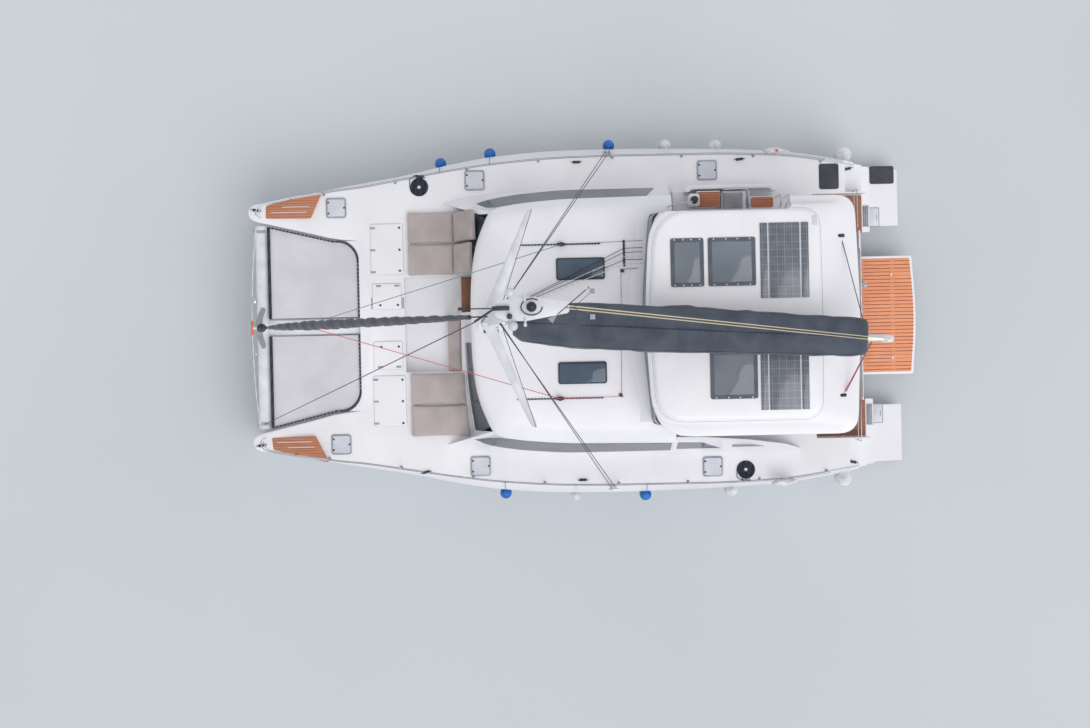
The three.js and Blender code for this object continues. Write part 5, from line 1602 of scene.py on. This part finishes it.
# Cockpit and saloon
def cockpit():
    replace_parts(made(blocks((-6.244, -5.62, -1.50, 1.89, 1.302, 1.61, 0.025, 3),
                            (-5.70, -4.70, 1.35, 1.89, 1.302, 1.61, 0.025, 3),
                            (-6.244, -6.21, -1.50, 1.89, 1.50, 2.06, 0.012, 2)),
                     "cockpit_bench_base", roof_white), "cockpit_bench")
    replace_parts(made(plate(bmesh.new(), rounded(-5.35, -4.35, 0.25, 1.15, 0.12), 1.985, 2.019, 0.012, 3),
                     "cockpit_table_top", sole_teak), "cockpit_table")
    made(blocks((-5.15, -4.55, 0.45, 0.95, 1.302, 1.986, 0.06, 4)), "cockpit_table_leg", roof_white)
    # Laid teak on the soles, with a bare margin at the walls
    bm = bmesh.new()
    for x0, x1, y0, y1 in ((-6.19, -2.02, -1.86, 1.86), (-6.40, -5.22, 1.86, 2.72), (-6.40, -5.22, -2.72, -1.86),
                           (-1.90, 2.33, -1.86, 1.86)):
        plate(bm, rounded(x0, x1, y0, y1, 0.04), 1.3012, 1.309, 0.002, 1)
    made(bm, "sole_teak", sole_teak)
    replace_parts(made(blocks((-0.30, 1.90, 1.25, 1.89, 1.302, 1.612, 0.025, 3)),
                     "settee_base", roof_white), "saloon_settee")
    cad_copy("galley_counter", "galley_form", [roof_white], "boat", 0.02, 3)
    made(blocks((-1.50, 0.90, -1.89, -1.28, 2.20, 2.225, 0.006, 2)), "galley_worktop", fitting_grey, slot="gelcoat")


def doors():
    for node, (x0, x1, y0, y1, z0, z1), edge in (("forward_door", (2.357, 2.395, -1.01, -0.31, 1.54, 2.94), 0.07),
                                                 ("saloon_door", (-2.01, -1.972, -0.27, 0.73, 1.308, 3.0), 0.06)):
        bm = join(bmesh.new(), surround(corners(z0, z1, y0, y1, 0.04), edge, x0, x1, 0.004),
                  Matrix(((0, 0, 1, 0), (0, 1, 0, 0), (1, 0, 0, 0), (0, 0, 0, 1))))
        bmesh.ops.reverse_faces(bm, faces=bm.faces)
        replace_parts(made(bm, f"{node}_frame", fitting_black, node), node)
        middle, height, reach = (x0 + x1) / 2, (z0 + z1) / 2, edge - 0.012
        made(blocks((middle - 0.006, middle + 0.006, y0 + reach, y1 - reach, z0 + reach, z1 - reach)),
             f"{node}_pane", front_glass, node)
        bm = bmesh.new()
        y = y1 - 0.035
        for x in (x0 - 0.012, x1 + 0.012):
            round_bar(bm, (x, y, height - 0.12), (x, y, height + 0.12), 0.008)
            for z in (height - 0.1, height + 0.1):
                round_bar(bm, (middle, y, z), (x, y, z), 0.006)
        made(bm, f"{node}_handle", stainless, node)


# Cockpit wings: the cabin side carried on aft. Side outline, x and z.
WING = ((-1.955, 1.902), (-1.955, 3.05), (-2.6, 3.0), (-3.6, 2.72), (-4.45, 2.30), (-4.85, 1.902))
WING_GLASS = ((-2.02, 2.24), (-2.02, 2.84), (-2.55, 2.80), (-3.05, 2.24))


def wing_y(z):
    return 3.0 - (z - 1.9) * 0.32


def port_wing():
    def slab(outline, outer, inner):
        line = filleted([(x, z, 0) for x, z in outline], 0.05, 4)
        return loft([[(p.x, wing_y(p.y) + off, p.y) for p in line] for off in (outer, inner)])
    wing = made(slab(WING, 0.0, -0.06), "port_wing", roof_white)
    cut(wing, slab(WING_GLASS, 0.05, -0.12))
    made(slab(shrunk(WING_GLASS, 0.002), -0.010, -0.026), "port_wing_glass", side_glass)
    # Grey slats further aft, flush on the wing where it shows a dark gap: painted shade
    bm = bmesh.new()
    for k in range(4):
        z = 2.40 + 0.05 * k
        slat = [(wing_y(z) + dy, z + dz) for dy, dz in ((0.004, -0.010), (0.012, 0.0), (0.004, 0.012), (-0.01, 0))]
        loft([[(x, *point) for point in slat] for x in (-3.25, -3.95 + 0.08 * k)], bm=bm)
    made(bm, "port_wing_shade_slats", fitting_grey)


roof_gear()
hardtop_fittings()
helm()
cockpit()
doors()
port_wing()


# Stern: treads, mats, boarding ladders and gate rails
# Door mats, starboard: aft x, bow x, y from, y to, z
MATS = ((-5.80, -5.36, -3.40, -2.83, 1.902), (-7.30, -6.74, -3.44, -3.03, 0.452))


def stern():
    bm = bmesh.new()
    for x0, x1, y0, y1, z in MATS:
        plate(bm, rounded(x0, x1, y0, y1, 0.06), z, z + 0.014, 0.006)
    made(bm, "door_mats", mat_cloth)
    for name, side in SIDES:
        y0, y1 = sorted((side * 2.04, side * 2.49))
        bm = surround(corners(-6.95, -6.67, y0, y1, 0.03), 0.018, 0.451, 0.464, 0.003)
        block(bm, -6.90, -6.885, side * 2.2, side * 2.32, 0.455, 0.475, 0.004, 1)
        made(bm, f"{name}_ladder_hatch_edge", fitting_grey)
        made(plate(bmesh.new(), rounded(-6.935, -6.685, y0 + 0.015, y1 - 0.015, 0.02), 0.451, 0.461, 0.002),
             f"{name}_ladder_hatch", hatch_frost)
        # Ladder folded up on the tread: slats between two side bars
        bm = bmesh.new()
        for k in range(5):
            x = -6.62 + 0.042 * k
            block(bm, x, x + 0.024, y0 + 0.01, y1 - 0.01, 0.900, 0.925, 0.006, 2)
        for y in (y0, y1):
            block(bm, -6.635, -6.425, y - 0.012, y + 0.012, 0.882, 0.912, 0.006, 2)
        made(bm, f"{name}_ladder", fitting_grey, slot="stainless_steel")
        rail = [(-6.16, side * 1.94, 1.302), (-6.16, side * 1.94, 2.16), (-6.16, side * 2.80, 2.16),
                (-6.16, side * 2.80, 1.30)]
        middle = [Vector((-6.16, side * 1.95, 1.74)), Vector((-6.16, side * 2.79, 1.74))]
        tubes(f"{name}_gate", [bent(rail, 0.08, 5), middle], 0.0125, stainless)


def swim_platform():
    outline = [(-6.447, -1.36, 0.03), (-7.65, -1.36, 0.06), (-7.75, 0.0, 0.7), (-7.65, 1.36, 0.06),
               (-6.447, 1.36, 0.03)]
    slab = plate(bmesh.new(), eased(outline, 0, 6), 0.502, 0.580, 0.012, 3)
    for y in (-0.70, 0.70):
        block(slab, -6.50, -6.441, y - 0.05, y + 0.05, 0.502, 1.248, 0.012, 2)
        block(slab, -7.05, -6.46, y - 0.03, y + 0.03, 0.40, 0.503, 0.012, 2)
    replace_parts(made(slab, "platform_slab", roof_white, "swim_platform"), "swim_platform")
    made(plate(bmesh.new(), eased(outline, 0.055, 6), 0.579, 0.592, 0.003),
         "platform_teak", platform_teak, "swim_platform")
    # Darker strips flush on the platform's teak: painted shade in its grooves
    bm = bmesh.new()
    for k in range(-15, 16):
        y = (k + 0.04) * 0.083
        end = -7.59 - 0.09 * (1 - (y / 1.3) ** 2)
        for x0, x1 in ((-7.15, -6.56), (end, -7.24)):
            if not (x0 < -7.16 and abs(abs(y) - 0.96) < 0.10):
                block(bm, x0, x1, y - 0.0075, y + 0.0075, 0.585, 0.5935)
    made(bm, "platform_groove_shade", groove_shade_brown, "swim_platform")
    made(blocks(*[(-7.19, -7.165, y - 0.05, y + 0.05, 0.588, 0.597, 0.004, 2)
                  for y in (-0.96, 0.96)]), "platform_eyes", stainless, "swim_platform")


def bridge():
    moulding = cad_copy("bridge_deck", "bridge_moulding", [deck_white], "boat", 0.012)
    apply_modifiers(moulding)
    cut(moulding, blocks((-6.7, -6.29, -1.95, 1.95, 0.7, 2.3)))
    bm = bmesh.new()
    for y in (-0.70, 0.70):
        block(bm, -6.43, -6.28, y - 0.03, y + 0.03, 0.25, 1.70, 0.006, 2)
        block(bm, -6.36, -6.28, y - 0.10, y + 0.10, 0.90, 1.60, 0.02, 2)
    made(bm, "platform_rails", fitting_grey, slot="stainless_steel")


# Guardrails: stanchion places along x, and the deck's edge
STANCHIONS = (5.7, 4.1, 2.5, 0.9, -0.75, -2.3, -3.9, -5.4)
RAIL_TOP = 0.62


def deck_z(x):
    return hull_row(x)[2]


def guardrails():
    for name, side in SIDES:
        stand = lambda x, up: Vector((x, side * (rail_y(x) - 0.05), deck_z(x) + up))
        posts = [[stand(x, 0.002), stand(x, RAIL_TOP)] for x in STANCHIONS]
        tubes(f"{name}_stanchions", posts, 0.0125, stainless)
        bm = bmesh.new()
        for x in STANCHIONS:
            turned(bm, [(0, 0), (0.035, 0), (0.035, 0.006), (0.018, 0.012), (0.018, 0.05), (0, 0.05)],
                   stand(x, 0), 16)
        made(bm, f"{name}_stanchion_feet", fitting_grey, slot="stainless_steel")
        wires = []
        for up in (RAIL_TOP - 0.01, 0.32):
            wires.append([stand(5.7 - 11.1 * k / 60, up) for k in range(61)])
        tubes(f"{name}_lifelines", wires, 0.004, wire_steel, resolution=2)
        # Bow rail: up from the tip, along the outer edge to the first stanchion
        line = [(7.12, side * 2.46, 1.975), (7.15, side * 2.50, 2.55), (7.08, side * 2.70, 2.58),
                (6.4, side * 2.84, 2.56), stand(5.7, RAIL_TOP)]
        brace = [(6.4, side * 2.84, 1.905), (6.4, side * 2.84, 2.55)]
        low = [(7.13, side * 2.52, 2.25), (7.06, side * 2.70, 2.26), (6.4, side * 2.84, 2.24), stand(5.7, 0.32)]
        tubes(f"{name}_bow_rail", [bent(line, 0.12, 5), brace, bent(low, 0.1, 4)], 0.0125, stainless)


# Fenders. Each row: side, x, blue cap or white, radius.
FENDERS = (
    (-1, 3.11, True, 0.13), (-1, 1.99, True, 0.13), (-1, -0.70, True, 0.13), (-1, -1.98, False, 0.13),
    (-1, -3.12, False, 0.13), (-1, -6.03, False, 0.17),
    (1, 1.79, True, 0.13), (1, 0.20, False, 0.12), (1, -1.38, True, 0.13), (1, -3.34, False, 0.13),
    (1, -5.91, False, 0.17),
)
FENDER_LOW, FENDER_HIGH = 0.62, 1.36


def fenders():
    low, high = FENDER_LOW, FENDER_HIGH
    for number, (side, x, blue, r) in enumerate(FENDERS):
        name = f"{SIDE_NAME[side]}_fender_{number + 1}"
        y = topside(x, 1.0) + r + 0.004
        profile = [(0, low - 0.03), (0.03, low - 0.028), (0.04, low + 0.01), (r * 0.72, low + 0.05),
                   (r * 0.97, low + 0.11), (r, low + 0.18), (r, high - 0.18), (r * 0.97, high - 0.11),
                   (r * 0.72, high - 0.05), (0.045, high - 0.01), (0.03, high + 0.03), (0, high + 0.032)]
        body = made(turned(bmesh.new(), profile, (x, side * y, 0), 32), name, fender_white, smooth=50)
        for v in body.data.vertices:
            v.co.y += side * 0.004 * sin(9 * v.co.z)
        cap = [(0, high + 0.034), (0.034, high + 0.032), (0.050, high - 0.008), (r * 0.75, high - 0.047),
               (r * 1.0, high - 0.108), (r * 0.97, high - 0.112), (r * 0.70, high - 0.056), (0.03, high - 0.02),
               (0, high - 0.02)]
        made(turned(bmesh.new(), cap, (x, side * y, 0), 32), f"{name}_cap",
             fender_blue if blue else fender_white, smooth=50)
        edge = Vector((x, side * (rail_y(x) - 0.05), deck_z(x) + 0.32))
        lip = Vector((x, side * (rail_y(x) + 0.03), deck_z(x) + 0.03))
        top = Vector((x, side * y, high + 0.025))
        tubes(f"{name}_lanyard", [bent([edge, lip, (x, side * (y - 0.03), 1.55), top], 0.05, 3)], 0.006,
              rope_blue if blue else rope_white, resolution=2)


# Pouches hung outside the guardrail: side, middle x
POUCHES = ((-1, -4.37), (1, -4.43))


def pouches():
    for side, x in POUCHES:
        name = SIDE_NAME[side]
        rings = []
        for k in range(25):
            t = -1 + 2 * k / 24
            half = 0.085 * max(1 - abs(t) ** 2.4, 0.04)
            drop = 0.17 * max(1 - abs(t) ** 3, 0.08)
            y = rail_y(x + 0.3 * t) + 0.035
            ring = []
            for a in angles(16):
                sag = 1 + 0.10 * sin(3 * a + 5 * t)
                ring.append((x + 0.31 * t, side * (y + half * cos(a) * sag), 2.20 + drop * sin(a) * sag))
            rings.append(ring)
        pouch = made(loft(rings), f"{name}_rail_pouch", fender_white, smooth=70)
        strap = []
        for dx in (-0.18, 0.18):
            y = rail_y(x + dx)
            strap.append([Vector((x + dx, side * (y - 0.05), 2.52)), Vector((x + dx, side * (y + 0.03), 2.36))])
        tubes(f"{name}_pouch_straps", strap, 0.008, rope_white, resolution=2)
        if side < 0:
            made(turned(bmesh.new(), [(0, 0), (0.035, 0), (0.035, 0.008), (0, 0.010)],
                        (x, side * (rail_y(x) + 0.035), 2.365), 20), "pouch_button", roller_orange)


# Rope coils, flat on the deck: side, centre x and distance out, the cleat's x and distance out
COILS = ((-1, 3.57, 3.07, 3.55, 3.30), (1, -3.60, 3.40, -3.59, 3.60))
ROPE, COIL_OUT, COIL_IN = 0.016, 0.205, 0.036


def rope_coils():
    for side, cx, cy, kx, ky in COILS:
        name = SIDE_NAME[side]
        z = DECK + 0.002 + ROPE / 2
        pitch = ROPE + 0.0009
        turns = (COIL_OUT - COIL_IN) / pitch
        steps = int(turns * 28)
        # It runs in from the cleat's side, straight into the outer turn
        line = [Vector((cx + COIL_OUT, side * (cy + 0.11 - 0.0275 * k), z + 0.010 * (1 - k / 4) ** 2))
                for k in range(4)]
        for k in range(steps + 1):
            a = 2 * pi * turns * k / steps
            r = COIL_OUT - pitch * turns * k / steps
            line.append(Vector((cx + r * cos(a), side * (cy - r * sin(a)), z)))
        coil = tubes(f"{name}_rope_coil", [line], ROPE / 2, rope_black, resolution=3)
        # Turns made fast on the cleat, and the rope from them to the coil
        loop = [Vector((kx + 0.085 * sin(a), side * ky + 0.030 * sin(2 * a), DECK + 0.060 + 0.016 * cos(2 * a)))
                for a in angles(48)]
        tubes(f"{name}_cleat_turns", [loop, [p + Vector((0, 0, 0.017)) for p in loop]], ROPE / 2, rope_black,
              closed=True, resolution=3)
        lead = [(kx + 0.05, side * (ky + 0.01), DECK + 0.055), (kx + 0.13, side * (ky + 0.01), DECK + 0.045),
                (line[0].x - 0.004, side * (cy + 0.16), line[0].z + 0.012), line[0]]
        tubes(f"{name}_cleat_lead", [smooth_line(lead, 8)], ROPE / 2, rope_black, resolution=3)


# Windows along the topsides: bow x, aft x
HULL_WINDOWS = ((3.0, 0.7), (0.4, -2.3))


def hull_windows():
    for name, side in SIDES:
        bm = bmesh.new()
        for bow, aft in HULL_WINDOWS:
            foot, head = [], []
            for k in range(25):
                t = k / 24
                x = bow + (aft - bow) * t
                tall = 0.17 * (1 - abs(2 * t - 1) ** 8) + 0.012
                for line, z in ((foot, 1.14 - tall), (head, 1.14 + tall)):
                    line.append(Vector((x, topside(x, z), z)))
            ribbon(foot, head, 0.003, -0.012, side, bm)
        made(bm, f"{name}_hull_windows", side_glass)


def underwater():
    for node in ("keel", "rudder"):
        for name, _ in SIDES:
            body = "boat" if node == "keel" else f"{name}_rudder"
            cad_copy(f"{name}_{node}", f"{name}_{node}_blade", [antifouling], body, 0.02, 3)
    for name, _ in SIDES:
        cad_copy(f"{name}_propeller", f"{name}_propeller_blades", [bronze], f"{name}_propeller", 0.004, 2)
        cad_copy(f"{name}_saildrive", f"{name}_drive_leg", [fitting_grey], "boat", 0.008, 2)
        cad_copy(f"{name}_roof_post", f"{name}_hardtop_post", [roof_white], "boat", 0.02, 3)


stern()
swim_platform()
bridge()
guardrails()
fenders()
pouches()
rope_coils()
hull_windows()
underwater()


# Cushions
BLOWN = {}
# Pressure of the filling, and the furthest that a point moves from the padded block
PUSH, FURTHEST = 4.0, 0.016


def blown(size):
    """A cushion's mesh, filled by a cloth simulation. Sizes that repeat share one."""
    if size in BLOWN:
        return BLOWN[size]
    across, wide, thick = size
    bm = bmesh.new()
    block(bm, -across / 2, across / 2, -wide / 2, wide / 2, 0.006, thick - 0.006, 0.030, 3)
    piece = loose(bm, "cushion_form")
    scene = bpy.context.scene
    remesh = piece.modifiers.new("remesh", "REMESH")
    remesh.mode, remesh.voxel_size = "VOXEL", 0.022
    apply_modifiers(piece)
    mesh = piece.data
    rest = [v.co.copy() for v in mesh.vertices]
    cloth_filling = piece.modifiers.new("filling", "CLOTH")
    filling = cloth_filling.settings
    filling.use_pressure, filling.uniform_pressure_force = True, PUSH
    filling.quality, filling.mass = 4, 0.3
    filling.effector_weights.gravity = 0
    cloth_filling.point_cache.frame_start, cloth_filling.point_cache.frame_end = 1, 20
    for number in range(1, 21):
        scene.frame_set(number)
    blown_up = piece.evaluated_get(bpy.context.evaluated_depsgraph_get())
    filled = [v.co.copy() for v in blown_up.data.vertices]
    piece.modifiers.remove(cloth_filling)
    scene.frame_set(1)
    for v, was, now in zip(mesh.vertices, rest, filled):
        step = now - was
        if step.length > FURTHEST:
            step *= FURTHEST / step.length
        v.co = was + step
    # Sides pull in between the corners
    for v in mesh.vertices:
        x, y = v.co.x / across, v.co.y / wide
        v.co.x *= 1 - 0.02 * cos(pi * y)
        v.co.y *= 1 - 0.02 * cos(pi * x)
    finer = piece.modifiers.new("finer", "SUBSURF")
    finer.levels = finer.render_levels = 1
    if thick > 0.1:
        apply_modifiers(piece)
    else:
        piece.modifiers.remove(finer)
    BLOWN[size] = piece.data.copy()
    bpy.data.objects.remove(piece)
    return BLOWN[size]


def cushion(name, size, place, material, slant=None, node=None):
    mesh = blown(size).copy()
    bm = bmesh.new()
    bm.from_mesh(mesh)
    bpy.data.meshes.remove(mesh)
    across, wide, thick = size
    tree = BVHTree.FromBMesh(bm)
    # Piping along the upper and lower edges, on the filled surface
    cords = []
    for z in (thick - 0.004, 0.004):
        loop = lifted(filleted([(-across / 2, -wide / 2), (across / 2, -wide / 2), (across / 2, wide / 2),
                                (-across / 2, wide / 2)], 0.05), z)
        dense = []
        for a, b in zip(loop, loop[1:] + loop[:1]):
            count = max(int((b - a).length / 0.04), 1)
            dense += [a.lerp(b, k / count) for k in range(count)]
        cords.append([tree.find_nearest(p)[0] for p in dense])

    def to_place(p):
        p = p.copy()
        if slant:
            p.x = across / 2 - (across / 2 - p.x) * (1 + (slant[0] + slant[1] * p.y) / across)
        return place @ p
    for v in bm.verts:
        v.co = to_place(v.co)
    piece = made(bm, name, material, smooth=80)
    if node:
        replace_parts(piece, node)
    tubes(f"{name}_piping", [[to_place(p) for p in line] for line in cords], 0.005, material,
          closed=True, resolution=2)


def lying(x, y, z, turn=0.0, lean=0.0):
    return moved((x, y, z), turn) @ Matrix.Rotation(lean, 4, "Y")


def cushions():
    for side, name in ((-1, "starboard"), (1, "port")):
        for number, y in enumerate((1.4375, 2.1525)):
            place = lying(3.345 if side < 0 else 3.25, side * y, 1.903)
            size = (1.03, 0.70, 0.126) if side < 0 else (1.22, 0.70, 0.126)
            # The port ones end at the foot of the glass, which runs aft as it goes outward
            slant = None if side < 0 else (0.03 + 0.062 * number, 0.062)
            cushion(f"{name}_foredeck_cushion_{number + 1}", size, place, cushion_cloth, slant,
                    f"foredeck_cushion_{name}" if number == 0 else None)
    # Two long backrests lean on the glass, up to the roof's edge
    for number, y in enumerate((1.4375, 2.1525)):
        place = lying(2.815, -y, 1.935, radians(1.5), radians(-115 - 5 * number))
        cushion(f"starboard_backrest_{number + 1}", (0.94, 0.70, 0.11), place @ Matrix.Translation((0.47, 0, -0.05)),
                cushion_cloth)
    cushion("bench_cushion", (0.31, 1.18, 0.11), lying(2.862, 0.463, 1.802), cushion_cloth, None,
            "foredeck_bench_cushion")
    # Cockpit, helm and saloon seats
    for number, y in enumerate((-0.93, 0.195, 1.32)):
        cushion(f"aft_seat_cushion_{number + 1}", (0.56, 1.11, 0.115), lying(-5.915, y, 1.612), seat_cloth)
        cushion(f"aft_back_cushion_{number + 1}", (0.40, 1.11, 0.09),
                lying(-6.195, y, 1.735, 0, radians(-96)) @ Matrix.Translation((0.20, 0, -0.10)), seat_cloth)
    cushion("side_seat_cushion", (0.90, 0.52, 0.115), lying(-5.17, 1.62, 1.612), seat_cloth)
    cushion("helm_seat_cushion", (0.47, 1.44, 0.11), lying(-3.355, -1.60, 2.494), seat_cloth)
    cushion("helm_seat_cushion_outer", (0.47, 0.42, 0.11), lying(-3.355, -2.56, 2.494), helm_cloth)
    cushion("helm_back_cushion", (0.36, 1.40, 0.08),
            lying(-3.60, -1.60, 2.63, 0, radians(-96)) @ Matrix.Translation((0.18, 0, -0.09)), seat_cloth)
    for number, x in enumerate((-0.29 + 0.53, -0.29 + 1.62)):
        cushion(f"settee_cushion_{number + 1}", (1.05, 0.62, 0.115), lying(x, 1.57, 1.615), seat_cloth)


cushions()


# Floor at the waterline, and soft studio light
def make_studio():
    ground, tree, shader, place = surface("studio_floor", "#c9ced2", 0.9)
    tree.links.new(clouded(tree, place, "#c6cbd0", "#ccd1d5", 0.05), shader.inputs["Base Color"])
    bm = bmesh.new()
    bmesh.ops.create_grid(bm, x_segments=1, y_segments=1, size=150)
    mesh = bpy.data.meshes.new("floor")
    bm.to_mesh(mesh)
    bm.free()
    floor = bpy.data.objects.new("floor", mesh)
    bpy.context.scene.collection.objects.link(floor)
    mesh.materials.append(ground)
    world = bpy.data.worlds.new("studio")
    bpy.context.scene.world = world
    world.use_nodes = True
    world.node_tree.nodes["Background"].inputs[0].default_value = (0.97, 0.98, 1.0, 1)
    world.node_tree.nodes["Background"].inputs[1].default_value = 0.72
    sun = bpy.data.lights.new("softbox", "SUN")
    sun.energy = 1.25
    sun.angle = radians(50)
    lamp = bpy.data.objects.new("softbox", sun)
    lamp.rotation_euler = (radians(-28), radians(-22), 0)
    bpy.context.scene.collection.objects.link(lamp)
    settings = bpy.context.scene.view_settings
    settings.view_transform = "Standard"
    settings.look = "None"


make_studio()
